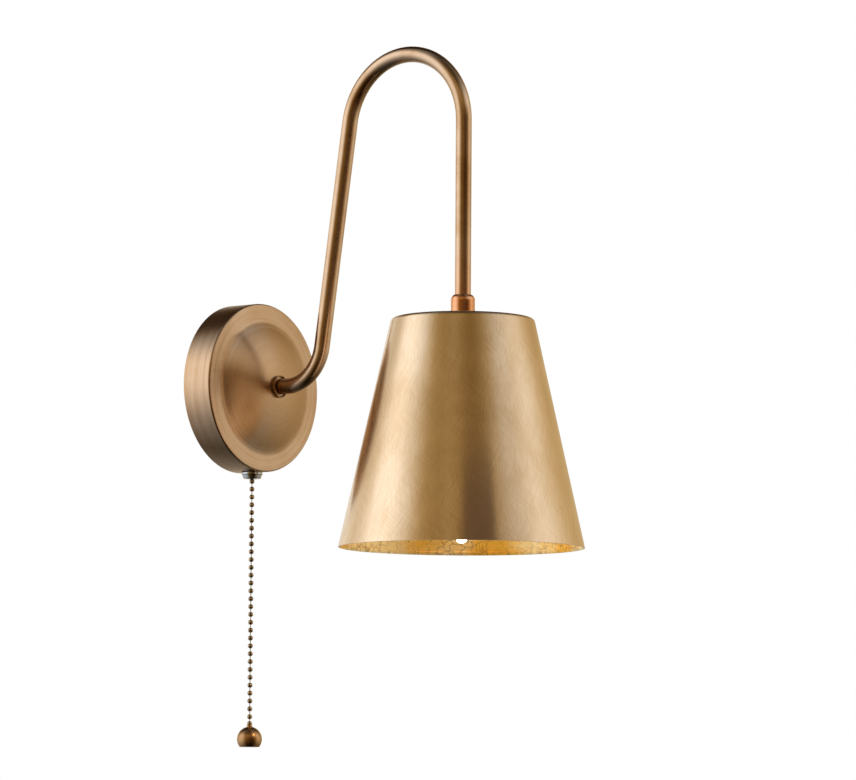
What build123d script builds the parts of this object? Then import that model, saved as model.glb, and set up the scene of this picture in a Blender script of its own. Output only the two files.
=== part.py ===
from build123d import *
import os
from math import asin, cos, radians, sin, sqrt

# Wall sconce with a swan-neck arm, a hanging cone shade and a pull-chain switch.
# Millimetres. The wall is the plane Y = 0, the room lies towards -Y and +Z is up.
# The origin is the centre of the round back plate, on the wall.

os.makedirs("parts", exist_ok=True)

# ---------------------------------------------------------------- driving sizes

# Clearances
sheet_fit = 0.15        # round a threaded tube in sheet metal
thread_fit = 0.05       # radial, between a male and a female thread drawn plain
slip_fit = 0.05         # radial, a brazed or pushed-in tube
seat_gap = 0.05         # between flat faces that stay separate pieces
loose_gap = 0.3         # round a cable in a bore, or between a hook and its lug

# Back plate
plate_radius = 65.0
plate_depth = 25.8
plate_wall = 1.2
plate_rim_round = 1.6
plate_inner_round = 0.4
dome_rise = 14.2        # from the plate's flat ring to the flat at the dome's top
dome_radius = 97.0      # of the ball that the dome is cut from
dome_sweep = 11.0       # radius of the hollow where the ring runs up into the dome
dome_top_radius = 9.8

# Arm tube
tube_radius = 6.0
tube_wall = 1.0
foot_straight = 9.6
lower_bend = 33.7
lean_angle = 8.6
lean_straight = 172.4
upper_bend = 55.2
drop_straight = 140.2

# Arm fixings
collar_radius = 8.7
collar_height = 2.8
collar_lip = 0.9
collar_recess_radius = 7.6
nipple_radius = 5.0
nipple_bore = 3.0
nipple_into_tube = 8.0
nipple_tail = 7.0
nut_across_flats = 14.0
nut_height = 3.5
nut_chamfer = 0.5
washer_radius = 8.6
washer_thickness = 1.0
tooth_count = 10
tooth_depth = 1.3

# Coupler between the arm and the shade
coupler_radius = 9.05
coupler_height = 17.7
coupler_shoulder_radius = 8.4
coupler_shoulder_drop = 1.5
coupler_neck_radius = 7.2
coupler_taper = 2.8
coupler_socket = 8.0
groove_depth = 0.25
groove_width = 0.7
groove_drops = (5.6, 9.4)

# Shade
shade_top_radius = 53.4
shade_rim_radius = 91.7
shade_height = 171.2
shade_wall = 1.0
shade_edge_round = 3.4
hem_height = 2.4
hem_thickness = 0.7
hem_step = 0.2
shade_washer_radius = 11.0

# Lampholder, for a small screw cap
stem_into_cap = 10.0
holder_radius = 14.2
holder_wall = 1.7
cap_neck_radius = 7.6
cap_neck_height = 6.0
cap_dome_height = 9.0
cap_skirt_height = 9.0
body_height = 30.0
body_spigot = 5.5
dome_bend = 0.7
dome_bend_radius = 12.2
insert_flange = 2.0
insert_crown = 9.0
insert_skirt_gap = 3.0
shell_radius = 7.6
shell_wall = 0.4
shell_length = 19.0
contact_width = 4.0
contact_thickness = 0.5

# Candle bulb
bulb_radius = 17.5
bulb_tip_radius = 4.6
bulb_waist_radius = 11.0
belly_height = 48.0
bulb_above_rim = 3.3
glass_length = 79.0
glass_wall = 0.9
base_radius = 6.85
base_length = 19.0
base_collar_radius = 7.4
base_collar_length = 3.0
insulator_height = 3.8
bulb_contact_radius = 2.6
bulb_contact_length = 1.2
base_wall = 0.5
base_shoulder = 2.0
insulator_lip = 0.4
led_plate = 1.2
led_plate_gap = 0.2
led_post_radius = 3.2
led_post_height = 30.0

# Pull-chain switch
switch_depth = 14.2
switch_width = 22.0
switch_thickness = 14.8
switch_height = 26.5
switch_wall = 1.7
switch_corner = 2.0
switch_above_rim = 7.5
switch_lid_thickness = 1.2
neck_radius = 5.0
neck_bore = 3.0
neck_flange_radius = 6.1
neck_flange = 1.0
neck_below_plate = 3.4
locknut_across_flats = 14.0
locknut_height = 2.5
ferrule_radius = 8.15
ferrule_height = 4.85
ferrule_flange = 1.1
ferrule_shoulder_radius = 7.3
ferrule_mouth_radius = 4.0
ferrule_bulge = (6.4, 3.7)
pull_travel = 8.0
spindle_radius = 1.5
spindle_head_radius = 5.4
spindle_head = 1.6
spindle_rise = 15.0
spindle_gap = 0.4
spring_wire = 0.35
spring_radius = 2.7
spring_turns = 6
switch_terminal = 4.5
terminal_gap = 1.0

# Bead chain
bead_radius = 2.0
bead_pitch = 6.04
bead_wall = 0.35
bead_hole_radius = 0.8
shank_radius = 0.35
link_head_radius = 0.95
link_head = 1.4
link_head_gap = 0.15
head_flat_radius = 0.5
hanging_beads = 31
first_bead_drop = 2.15
end_bead_drop = 5.1

# Pull ball
ball_radius = 9.6
ball_flat_drop = 6.0
ball_collar_radius = 2.2
ball_collar_height = 1.5
ball_collar_bevel = 0.2
ball_below_bead = 1.05
ball_cup_radius = 1.85
ball_cup_floor = 1.0
ball_pin = 3.0

# Wall bracket and wiring
bracket_thickness = 1.5
bracket_width = 22.0
bracket_half_length = 56.0
bracket_neck_width = 12.0
bracket_corner = 3.0
ear_thickness = 2.0
ear_length = 14.0
ear_wall_gap = 0.5
wall_slot_spacing = 70.0
wall_slot_length = 12.0
wall_slot_width = 5.0
cable_hole_radius = 6.0
cover_screw_depth = 8.5
cover_screw_radius = 1.95
cover_screw_head_radius = 3.5
cover_screw_head = 1.6
cover_screw_length = 8.0
hook_thickness = 1.5
hook_length = 9.8
hook_reach = 2.6
lug_width = 8.0
lug_start = 4.0
lug_thickness = 2.2
earth_screw_x = 18.0
earth_screw_radius = 1.95
earth_head_radius = 4.0
earth_head = 2.4
screw_slot = 1.0
earth_washer_radius = 4.6
earth_washer = 0.8
block_width = 30.0
block_corner = 1.0
block_height = 16.0
block_thickness = 13.0
block_bottom = 15.0
block_waist_depth = 7.2
pole_pitch = 10.0
pole_bore = 2.5
clamp_pitch = 7.0
sleeve_wall = 0.95
clamp_head_radius = 1.9
clamp_head = 2.4
clamp_slot = 0.6
block_wall = 0.5
block_screw_radius = 1.5
block_screw_head_radius = 2.2
block_screw_head = 1.6
flex_radius = 2.7
flex_tail = 3.0
core_tail = 8.0
lead_rise = 3.0
lead_drop = 12.0
lead_radius = 0.85
lead_bend = 4.0
lead_sides = 8
core_circle = 1.4
lead_into_block = 2.5

# ---------------------------------------------------------------- derived places

lean = radians(lean_angle)

plate_inside_radius = plate_radius - plate_wall
dome_top = plate_depth + dome_rise
dome_inside = dome_top - plate_wall
dome_centre = dome_top - sqrt(dome_radius ** 2 - dome_top_radius ** 2)
sweep_depth = plate_depth + dome_sweep
sweep_radius = sqrt((dome_radius + dome_sweep) ** 2 - (sweep_depth - dome_centre) ** 2)
dome_lean = asin(sweep_radius / (dome_radius + dome_sweep))

bend_start = dome_top + foot_straight
lean_foot = (bend_start + lower_bend * cos(lean), lower_bend * (1 - sin(lean)))
lean_head = (
    lean_foot[0] + lean_straight * sin(lean),
    lean_foot[1] + lean_straight * cos(lean),
)
upper_centre = (
    lean_head[0] + upper_bend * cos(lean),
    lean_head[1] - upper_bend * sin(lean),
)
reach = upper_centre[0] + upper_bend
tube_end = upper_centre[1] - drop_straight

coupler_top = tube_end + coupler_socket
shade_top = coupler_top - coupler_height
shade_rim = shade_top - shade_height
shade_slope = (shade_rim_radius - shade_top_radius) / shade_height

bulb_tip = shade_rim + bulb_above_rim
glass_top = bulb_tip + glass_length
base_top = glass_top + base_length
insulator_top = base_top + insulator_height
bulb_end = insulator_top + bulb_contact_length

contact_face = bulb_end + seat_gap
insert_floor = contact_face + contact_thickness * 3
insert_top = insert_floor + insert_crown
body_bottom = insert_top - insert_flange - body_height
body_rim = insert_top - insert_flange
cap_bottom = body_rim - body_spigot
cap_shoulder = cap_bottom + cap_skirt_height
cap_neck_foot = cap_shoulder + cap_dome_height
cap_top = cap_neck_foot + cap_neck_height

neck_tip = -plate_radius - neck_below_plate
housing_bottom = switch_above_rim - plate_radius
housing_top = housing_bottom + switch_height
housing_back = switch_depth - switch_thickness / 2 - switch_lid_thickness / 2
cavity_floor = housing_bottom + switch_wall
ferrule_top = -plate_radius - seat_gap
ferrule_bottom = ferrule_top - ferrule_height
first_bead = ferrule_bottom - first_bead_drop
last_bead = first_bead - (hanging_beads - 1) * bead_pitch
end_bead = last_bead - end_bead_drop
ball_top = end_bead - ball_below_bead

# Planes: local x and y are (distance from the axis, depth from the wall),
# (depth from the wall, height) and (across, height) on an upright axis.
room_plane = Plane(origin=(0, 0, 0), x_dir=(1, 0, 0), z_dir=(0, 0, -1))
side_plane = Plane(origin=(0, 0, 0), x_dir=(0, -1, 0), z_dir=(-1, 0, 0))
shade_plane = Plane.XZ.offset(reach)
switch_plane = Plane.XZ.offset(switch_depth)
shade_axis = Axis((0, -reach, 0), (0, 0, 1))
switch_axis = Axis((0, -switch_depth, 0), (0, 0, 1))


def arm_route(start, end):
    """Centre line of the arm, from a depth at the plate to a height at the shade."""
    Line((start, 0), (bend_start, 0))
    CenterArc((bend_start, lower_bend), lower_bend, 270, 90 - lean_angle)
    Line(lean_foot, lean_head)
    CenterArc(upper_centre, upper_bend, 180 - lean_angle, lean_angle - 180)
    Line((reach, upper_centre[1]), (reach, end))


# ---------------------------------------------------------------- back plate

def plate_skin(inset, rounding):
    """One skin of the plate: its flat ring runs up through a hollow sweep into a shallow dome."""
    skin_radius = dome_radius - inset
    foot = (skin_radius * sin(dome_lean), dome_centre + skin_radius * cos(dome_lean))
    top_rise = dome_top - inset - dome_centre
    top_edge = (sqrt(skin_radius ** 2 - top_rise ** 2), dome_top - inset)
    FilletPolyline(
        (plate_radius - inset, 0),
        (plate_radius - inset, plate_depth - inset),
        (sweep_radius, plate_depth - inset),
        radius=rounding,
    )
    TangentArc((sweep_radius, plate_depth - inset), foot, tangent=(-1, 0))
    TangentArc(foot, top_edge, tangent=(-cos(dome_lean), sin(dome_lean)))
    Line(top_edge, (nipple_radius + sheet_fit, dome_top - inset))


with BuildPart() as backplate_cover:
    with BuildSketch(room_plane):
        with BuildLine():
            plate_skin(0, plate_rim_round)
            plate_skin(plate_wall, plate_inner_round)
            Line((plate_radius, 0), (plate_inside_radius, 0))
            Line((nipple_radius + sheet_fit, dome_top), (nipple_radius + sheet_fit, dome_inside))
        make_face()
    revolve(axis=Axis.Y)
    with BuildSketch(Plane.XY.offset(-plate_radius - plate_wall)):
        with Locations((0, -switch_depth)):
            Circle(neck_radius + sheet_fit)
    extrude(amount=plate_wall * 4, mode=Mode.SUBTRACT)
    with BuildSketch(Plane.YZ.offset(plate_radius - plate_wall * 3)):
        with Locations((-cover_screw_depth, 0)):
            Circle(cover_screw_radius + sheet_fit)
    extrude(amount=plate_wall * 4, mode=Mode.SUBTRACT)
backplate_cover.part.label = "backplate_cover"
export_step(backplate_cover.part, "parts/backplate_cover.step")

lug_inner = sqrt(plate_inside_radius ** 2 - (lug_width / 2) ** 2) - lug_thickness
lug_end = hook_length - hook_thickness - loose_gap
with BuildPart() as cover_lug:
    with BuildSketch(Plane.XZ.offset(lug_start)):
        Circle(plate_inside_radius)
        with Locations((-lug_inner - lug_width / 2, 0)):
            Rectangle(lug_width, lug_width, mode=Mode.INTERSECT)
    extrude(amount=lug_end - lug_start)
cover_lug.part.label = "cover_lug"
export_step(cover_lug.part, "parts/cover_lug.step")

# ---------------------------------------------------------------- wall bracket

ear_face = plate_inside_radius - ear_wall_gap
hook_face = lug_inner - loose_gap
block_top = block_bottom + block_height
block_centre = block_bottom + block_height / 2
block_back = bracket_thickness + seat_gap
block_front = block_back + block_thickness
block_screw_x = pole_pitch / 2
with BuildPart() as wall_bracket:
    with BuildSketch(Plane.XZ):
        RectangleRounded(2 * bracket_half_length, bracket_width, bracket_corner)
        with Locations(((ear_face - hook_face) / 2, 0)):
            Rectangle(ear_face + hook_face, bracket_neck_width)
        with Locations((0, block_centre / 2 + block_height / 4)):
            Rectangle(block_width - pole_pitch / 2, block_centre + block_height / 2)
        with GridLocations(wall_slot_spacing, 0, 2, 1):
            SlotOverall(wall_slot_length, wall_slot_width, mode=Mode.SUBTRACT)
        Circle(cable_hole_radius, mode=Mode.SUBTRACT)
        with Locations((earth_screw_x, 0)):
            Circle(earth_screw_radius + thread_fit, mode=Mode.SUBTRACT)
        with Locations((-block_screw_x, block_centre), (block_screw_x, block_centre)):
            Circle(block_screw_radius + thread_fit, mode=Mode.SUBTRACT)
    extrude(amount=bracket_thickness)
    with BuildSketch(Plane.XZ):
        with Locations((ear_face - ear_thickness / 2, 0)):
            Rectangle(ear_thickness, bracket_neck_width)
    extrude(amount=ear_length)
    with BuildSketch(Plane.XZ):
        with Locations((-hook_face + hook_thickness / 2, 0)):
            Rectangle(hook_thickness, bracket_neck_width)
    extrude(amount=hook_length)
    with BuildSketch(Plane.XZ.offset(hook_length - hook_thickness)):
        with Locations((-hook_face + hook_thickness / 2 - hook_reach / 2, 0)):
            Rectangle(hook_thickness + hook_reach - hook_thickness / 2, bracket_neck_width - 2)
    extrude(amount=hook_thickness)
    with BuildSketch(Plane.YZ.offset(ear_face - ear_thickness * 2)):
        with Locations((-cover_screw_depth, 0)):
            Circle(cover_screw_radius + thread_fit)
    extrude(amount=ear_thickness * 3, mode=Mode.SUBTRACT)
wall_bracket.part.label = "wall_bracket"
export_step(wall_bracket.part, "parts/wall_bracket.step")

with BuildPart() as cover_screw:
    with BuildSketch(Plane.XY):
        with BuildLine():
            head_start = plate_radius + seat_gap
            Polyline(
                (head_start - cover_screw_length, -cover_screw_depth),
                (head_start + cover_screw_head, -cover_screw_depth),
                (head_start + cover_screw_head, -cover_screw_depth + cover_screw_head_radius * 0.6),
                (head_start + cover_screw_head / 3, -cover_screw_depth + cover_screw_head_radius),
                (head_start, -cover_screw_depth + cover_screw_head_radius),
                (head_start, -cover_screw_depth + cover_screw_radius),
                (head_start - cover_screw_length, -cover_screw_depth + cover_screw_radius),
                close=True,
            )
        make_face()
    revolve(axis=Axis((0, -cover_screw_depth, 0), (1, 0, 0)))
cover_screw.part.label = "cover_screw"
export_step(cover_screw.part, "parts/cover_screw.step")

with BuildPart() as earth_screw:
    with BuildSketch(Plane.XZ):
        with Locations((earth_screw_x, 0)):
            Circle(earth_screw_radius)
    extrude(amount=bracket_thickness + earth_washer + seat_gap * 2)
    with BuildSketch(Plane.XZ.offset(bracket_thickness + earth_washer + seat_gap * 2)):
        with Locations((earth_screw_x, 0)):
            Circle(earth_head_radius)
    extrude(amount=earth_head)
    with BuildSketch(Plane.XZ.offset(bracket_thickness + earth_washer + earth_head)):
        with Locations((earth_screw_x, 0)):
            Rectangle(screw_slot, earth_head_radius * 2)
    extrude(amount=earth_head, mode=Mode.SUBTRACT)
earth_screw.part.label = "earth_screw"
export_step(earth_screw.part, "parts/earth_screw.step")

with BuildPart() as earth_cup:
    with BuildSketch(Plane.XZ.offset(bracket_thickness + seat_gap)):
        with Locations((earth_screw_x, 0)):
            Circle(earth_washer_radius)
            Circle(earth_screw_radius + sheet_fit, mode=Mode.SUBTRACT)
    extrude(amount=earth_washer)
earth_cup.part.label = "earth_washer"
export_step(earth_cup.part, "parts/earth_washer.step")

# ---------------------------------------------------------------- terminal block

pole_depth = block_back + block_thickness / 2
pole_places = (-pole_pitch, 0, pole_pitch)
clamp_places = [(x, block_centre + z) for x in pole_places for z in (-clamp_pitch / 2, clamp_pitch / 2)]
with BuildPart() as terminal_block:
    with BuildSketch(Plane.XZ.offset(block_back)):
        with Locations((0, block_centre)):
            RectangleRounded(block_width, block_height, block_corner)
    extrude(amount=block_thickness)
    with BuildSketch(Plane.XZ.offset(block_front)):
        with Locations((-block_screw_x, block_centre), (block_screw_x, block_centre)):
            Rectangle((block_screw_head_radius + sheet_fit) * 2, block_height)
    extrude(amount=-block_waist_depth, mode=Mode.SUBTRACT)
    with BuildSketch(Plane.XZ.offset(block_back)):
        with Locations((-block_screw_x, block_centre), (block_screw_x, block_centre)):
            Circle(block_screw_radius + sheet_fit)
    extrude(amount=block_thickness, mode=Mode.SUBTRACT)
    with BuildSketch(Plane.XY.offset(block_bottom)):
        with Locations(*[(x, -pole_depth) for x in pole_places]):
            Circle(pole_bore)
    extrude(amount=block_height, mode=Mode.SUBTRACT)
    with BuildSketch(Plane.XZ.offset(pole_depth)):
        with Locations(*clamp_places):
            Circle(clamp_head_radius + sheet_fit)
    extrude(amount=block_thickness, mode=Mode.SUBTRACT)
terminal_block.part.label = "terminal_block"
export_step(terminal_block.part, "parts/terminal_block.step")

sleeve_radius = pole_bore - slip_fit
with BuildPart() as terminal_sleeves:
    with BuildSketch(Plane.XY.offset(block_bottom + block_wall)):
        with Locations(*[(x, -pole_depth) for x in pole_places]):
            Circle(sleeve_radius)
            Circle(sleeve_radius - sleeve_wall, mode=Mode.SUBTRACT)
    extrude(amount=block_height - 2 * block_wall)
terminal_sleeves.part.label = "terminal_sleeves"
export_step(terminal_sleeves.part, "parts/terminal_sleeves.step")

clamp_seat = pole_depth + sleeve_radius + seat_gap
with BuildPart() as clamp_screws:
    with BuildSketch(Plane.XZ.offset(clamp_seat)):
        with Locations(*clamp_places):
            Circle(clamp_head_radius)
    extrude(amount=clamp_head)
    with BuildSketch(Plane.XZ.offset(clamp_seat + clamp_head)):
        with Locations(*clamp_places):
            Rectangle(clamp_head_radius * 2, clamp_slot)
    extrude(amount=-clamp_head / 2, mode=Mode.SUBTRACT)
clamp_screws.part.label = "clamp_screws"
export_step(clamp_screws.part, "parts/clamp_screws.step")

block_waist = block_front - block_waist_depth
with BuildPart() as block_screws:
    with BuildSketch(Plane.XZ):
        with Locations((-block_screw_x, block_centre), (block_screw_x, block_centre)):
            Circle(block_screw_radius)
    extrude(amount=block_waist + seat_gap)
    with BuildSketch(Plane.XZ.offset(block_waist + seat_gap)):
        with Locations((-block_screw_x, block_centre), (block_screw_x, block_centre)):
            Circle(block_screw_head_radius)
    extrude(amount=block_screw_head)
block_screws.part.label = "block_screws"
export_step(block_screws.part, "parts/block_screws.step")

# ---------------------------------------------------------------- arm

with BuildPart() as arm_tube:
    with BuildLine(side_plane):
        arm_route(dome_top + seat_gap, tube_end)
    with BuildSketch(Plane.XZ.offset(dome_top + seat_gap)):
        Circle(tube_radius)
        Circle(tube_radius - tube_wall, mode=Mode.SUBTRACT)
    sweep()
arm_tube.part.label = "arm_tube"
export_step(arm_tube.part, "parts/arm_tube.step")

with BuildPart() as arm_collar:
    with BuildSketch(room_plane):
        with BuildLine():
            collar_foot = dome_top + seat_gap
            Polyline(
                (tube_radius + slip_fit, collar_foot),
                (collar_radius, collar_foot),
                (collar_radius, collar_foot + collar_height - collar_lip / 2),
                (collar_radius - collar_lip / 2, collar_foot + collar_height),
                (collar_recess_radius + collar_lip / 3, collar_foot + collar_height),
                (collar_recess_radius - collar_lip / 2, collar_foot + collar_height * 0.45),
                (tube_radius + slip_fit, collar_foot + collar_height * 0.4),
                close=True,
            )
        make_face()
    revolve(axis=Axis.Y)
arm_collar.part.label = "arm_collar"
export_step(arm_collar.part, "parts/arm_collar.step")

arm_washer_back = dome_inside - seat_gap - washer_thickness
arm_nut_back = arm_washer_back - seat_gap - nut_height
nipple_back = arm_nut_back - nipple_tail / 2
with BuildPart() as arm_nipple:
    with BuildSketch(Plane.XZ.offset(nipple_back)):
        Circle(tube_radius - tube_wall - slip_fit)
        Circle(nipple_bore, mode=Mode.SUBTRACT)
    extrude(amount=dome_top + nipple_into_tube - nipple_back)
arm_nipple.part.label = "arm_nipple"
export_step(arm_nipple.part, "parts/arm_nipple.step")

with BuildPart() as arm_tooth_washer:
    with BuildSketch(Plane.XZ.offset(arm_washer_back)):
        Circle(washer_radius)
        with PolarLocations(washer_radius, tooth_count):
            Rectangle(tooth_depth * 2, tooth_depth, mode=Mode.SUBTRACT)
        Circle(nipple_radius + sheet_fit, mode=Mode.SUBTRACT)
    extrude(amount=washer_thickness)
arm_tooth_washer.part.label = "arm_tooth_washer"
export_step(arm_tooth_washer.part, "parts/arm_tooth_washer.step")

with BuildPart() as arm_locknut:
    with BuildSketch(Plane.XZ.offset(arm_nut_back)):
        RegularPolygon(nut_across_flats / 2, 6, major_radius=False)
        Circle(nipple_radius + thread_fit, mode=Mode.SUBTRACT)
    extrude(amount=nut_height)
    chamfer(arm_locknut.faces().sort_by(Axis.Y)[-1].outer_wire().edges(), length=nut_chamfer)
arm_locknut.part.label = "arm_locknut"
export_step(arm_locknut.part, "parts/arm_locknut.step")

# ---------------------------------------------------------------- coupler and shade

stem_radius = nipple_radius
with BuildPart() as shade_coupler:
    with BuildSketch(shade_plane):
        with BuildLine():
            coupler_foot = shade_top + seat_gap
            Polyline(
                (stem_radius + thread_fit, coupler_foot),
                (coupler_radius, coupler_foot),
                (coupler_radius, coupler_top - coupler_taper),
                (coupler_shoulder_radius, coupler_top - coupler_shoulder_drop),
                (coupler_neck_radius, coupler_top),
                (tube_radius + slip_fit, coupler_top),
                (tube_radius + slip_fit, tube_end - seat_gap),
                (stem_radius + thread_fit, tube_end - seat_gap),
                close=True,
            )
        make_face()
        with Locations(*[(coupler_radius, coupler_top - drop) for drop in groove_drops]):
            Rectangle(groove_depth * 2, groove_width, mode=Mode.SUBTRACT)
    revolve(axis=shade_axis)
shade_coupler.part.label = "shade_coupler"
export_step(shade_coupler.part, "parts/shade_coupler.step")

hem_outer = shade_rim_radius - shade_wall
with BuildPart() as shade:
    with BuildSketch(shade_plane):
        with BuildLine():
            FilletPolyline(
                (stem_radius + sheet_fit, shade_top),
                (shade_top_radius, shade_top),
                (shade_rim_radius, shade_rim),
                radius=shade_edge_round,
            )
            offset(amount=shade_wall, side=Side.RIGHT)
        make_face()
        with BuildLine():
            Polyline(
                (hem_outer, shade_rim + hem_step),
                (hem_outer - shade_slope * hem_height, shade_rim + hem_height),
                (hem_outer - shade_slope * hem_height - hem_thickness, shade_rim + hem_height),
                (hem_outer - hem_thickness, shade_rim + hem_step),
                close=True,
            )
        make_face()
    revolve(axis=shade_axis)
shade.part.label = "shade"
export_step(shade.part, "parts/shade.step")

under_shade = shade_top - shade_wall
shade_washer_foot = under_shade - seat_gap - washer_thickness
with BuildPart() as shade_washer:
    with BuildSketch(Plane(origin=(0, -reach, shade_washer_foot))):
        Circle(shade_washer_radius)
        Circle(stem_radius + sheet_fit, mode=Mode.SUBTRACT)
    extrude(amount=washer_thickness)
shade_washer.part.label = "shade_washer"
export_step(shade_washer.part, "parts/shade_washer.step")

shade_nut_foot = shade_washer_foot - seat_gap - nut_height
with BuildPart() as shade_nut:
    with BuildSketch(Plane(origin=(0, -reach, shade_nut_foot))):
        RegularPolygon(nut_across_flats / 2, 6, major_radius=False)
        Circle(stem_radius + thread_fit, mode=Mode.SUBTRACT)
    extrude(amount=nut_height)
    chamfer(shade_nut.faces().sort_by(Axis.Z)[0].outer_wire().edges(), length=nut_chamfer)
shade_nut.part.label = "shade_nut"
export_step(shade_nut.part, "parts/shade_nut.step")

stem_foot = cap_top - stem_into_cap
stem_head = tube_end - seat_gap * 4
with BuildPart() as shade_stem:
    with BuildSketch(Plane(origin=(0, -reach, stem_foot))):
        Circle(stem_radius)
        Circle(nipple_bore, mode=Mode.SUBTRACT)
    extrude(amount=stem_head - stem_foot)
shade_stem.part.label = "shade_stem"
export_step(shade_stem.part, "parts/shade_stem.step")

# ---------------------------------------------------------------- lampholder

cap_inside = holder_radius - holder_wall
dome_bend_height = cap_shoulder + cap_dome_height * dome_bend
with BuildPart() as lampholder_cap:
    with BuildSketch(shade_plane):
        with BuildLine():
            Polyline(
                (holder_radius, cap_bottom),
                (holder_radius, cap_shoulder),
                (dome_bend_radius, dome_bend_height),
                (cap_neck_radius, cap_neck_foot),
                (cap_neck_radius, cap_top),
                (stem_radius + thread_fit, cap_top),
                (stem_radius + thread_fit, cap_neck_foot - holder_wall),
                (dome_bend_radius - holder_wall, dome_bend_height - holder_wall),
                (cap_inside, cap_shoulder - holder_wall / 2),
                (cap_inside, cap_bottom),
                close=True,
            )
        make_face()
    revolve(axis=shade_axis)
lampholder_cap.part.label = "lampholder_cap"
export_step(lampholder_cap.part, "parts/lampholder_cap.step")

spigot_radius = cap_inside - thread_fit
spigot_bore = spigot_radius - holder_wall
with BuildPart() as lampholder_body:
    with BuildSketch(shade_plane):
        with BuildLine():
            Polyline(
                (spigot_bore, body_bottom),
                (holder_radius, body_bottom),
                (holder_radius, cap_bottom - seat_gap),
                (spigot_radius, cap_bottom - seat_gap),
                (spigot_radius, body_rim),
                (spigot_bore, body_rim),
                close=True,
            )
        make_face()
    revolve(axis=shade_axis)
lampholder_body.part.label = "lampholder_body"
export_step(lampholder_body.part, "parts/lampholder_body.step")

insert_radius = spigot_bore - slip_fit
with BuildPart() as lampholder_insert:
    with BuildSketch(shade_plane):
        with BuildLine():
            Polyline(
                (0, insert_floor),
                (shell_radius + slip_fit, insert_floor),
                (shell_radius + slip_fit, body_bottom + insert_skirt_gap),
                (insert_radius, body_bottom + insert_skirt_gap),
                (insert_radius, body_rim + seat_gap),
                (spigot_radius - slip_fit, body_rim + seat_gap),
                (spigot_radius - slip_fit, insert_top),
                (0, insert_top),
                close=True,
            )
        make_face()
    revolve(axis=shade_axis)
lampholder_insert.part.label = "lampholder_insert"
export_step(lampholder_insert.part, "parts/lampholder_insert.step")

shell_top = insert_floor - seat_gap
with BuildPart() as screw_shell:
    with BuildSketch(Plane(origin=(0, -reach, shell_top - shell_length))):
        Circle(shell_radius)
        Circle(shell_radius - shell_wall, mode=Mode.SUBTRACT)
    extrude(amount=shell_length)
    with BuildSketch(Plane(origin=(0, -reach, shell_top - shell_wall))):
        Circle(shell_radius)
        Circle(bulb_contact_radius * 1.8, mode=Mode.SUBTRACT)
    extrude(amount=shell_wall)
screw_shell.part.label = "screw_shell"
export_step(screw_shell.part, "parts/screw_shell.step")

with BuildPart() as centre_contact:
    with BuildSketch(shade_plane):
        with BuildLine():
            Polyline(
                (-contact_width, insert_floor - seat_gap),
                (-contact_width / 2, insert_floor - seat_gap),
                (contact_width / 2, contact_face + contact_thickness),
                (contact_width, contact_face + contact_thickness),
                (contact_width, contact_face),
                (contact_width / 2 - contact_thickness, contact_face),
                (-contact_width / 2 - contact_thickness, insert_floor - seat_gap - contact_thickness),
                (-contact_width, insert_floor - seat_gap - contact_thickness),
                close=True,
            )
        make_face()
    extrude(amount=contact_width / 2, both=True)
centre_contact.part.label = "centre_contact"
export_step(centre_contact.part, "parts/centre_contact.step")

# ---------------------------------------------------------------- bulb

# The flank stands upright at the belly and rolls smoothly into the rounded tip.
belly = bulb_tip + belly_height
tip_depth = belly_height - bulb_tip_radius
flank_over = bulb_radius - bulb_tip_radius
flank_radius = (bulb_radius ** 2 + tip_depth ** 2 - bulb_tip_radius ** 2) / (2 * flank_over)
tip_scale = bulb_tip_radius / (flank_radius - bulb_tip_radius)
tip_edge = (
    tip_scale * (flank_radius - bulb_radius),
    bulb_tip + bulb_tip_radius - tip_scale * tip_depth,
)
inner_radius = bulb_radius - 2 * glass_wall
with BuildPart() as bulb_glass:
    with BuildSketch(shade_plane):
        with BuildLine():
            TangentArc((0, bulb_tip), tip_edge, tangent=(1, 0))
            TangentArc((bulb_radius, belly), tip_edge, tangent=(0, -1))
            TangentArc((bulb_radius, belly), (bulb_waist_radius, glass_top), tangent=(0, 1))
            Polyline(
                (bulb_waist_radius, glass_top),
                (bulb_waist_radius - glass_wall, glass_top),
                (inner_radius, belly + belly_height / 5),
                (inner_radius, belly),
                (inner_radius * 0.65, bulb_tip + belly_height * 0.36),
                (0, bulb_tip + bulb_tip_radius),
                (0, bulb_tip),
            )
        make_face()
    revolve(axis=shade_axis)
bulb_glass.part.label = "bulb_glass"
export_step(bulb_glass.part, "parts/bulb_glass.step")

with BuildPart() as bulb_cap:
    with BuildSketch(shade_plane):
        with BuildLine():
            Polyline(
                (base_radius - base_wall, glass_top + seat_gap),
                (bulb_waist_radius, glass_top + seat_gap),
                (base_collar_radius, glass_top + base_collar_length),
                (base_radius, glass_top + base_collar_length),
                (base_radius, base_top - base_shoulder),
                (base_radius - base_shoulder, base_top),
                (base_radius - base_shoulder - base_wall, base_top),
                (base_radius - base_wall, base_top - base_shoulder),
                close=True,
            )
        make_face()
    revolve(axis=shade_axis)
bulb_cap.part.label = "bulb_cap"
export_step(bulb_cap.part, "parts/bulb_cap.step")

with BuildPart() as bulb_insulator:
    with BuildSketch(shade_plane):
        with BuildLine():
            Polyline(
                (0, base_top + seat_gap),
                (base_radius - base_shoulder, base_top + seat_gap),
                (bulb_contact_radius + insulator_lip, insulator_top),
                (0, insulator_top),
                close=True,
            )
        make_face()
    revolve(axis=shade_axis)
bulb_insulator.part.label = "bulb_insulator"
export_step(bulb_insulator.part, "parts/bulb_insulator.step")

with BuildPart() as bulb_contact:
    with BuildSketch(Plane(origin=(0, -reach, insulator_top + seat_gap))):
        Circle(bulb_contact_radius)
    extrude(amount=bulb_contact_length - seat_gap, taper=25)
bulb_contact.part.label = "bulb_contact"
export_step(bulb_contact.part, "parts/bulb_contact.step")

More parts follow.
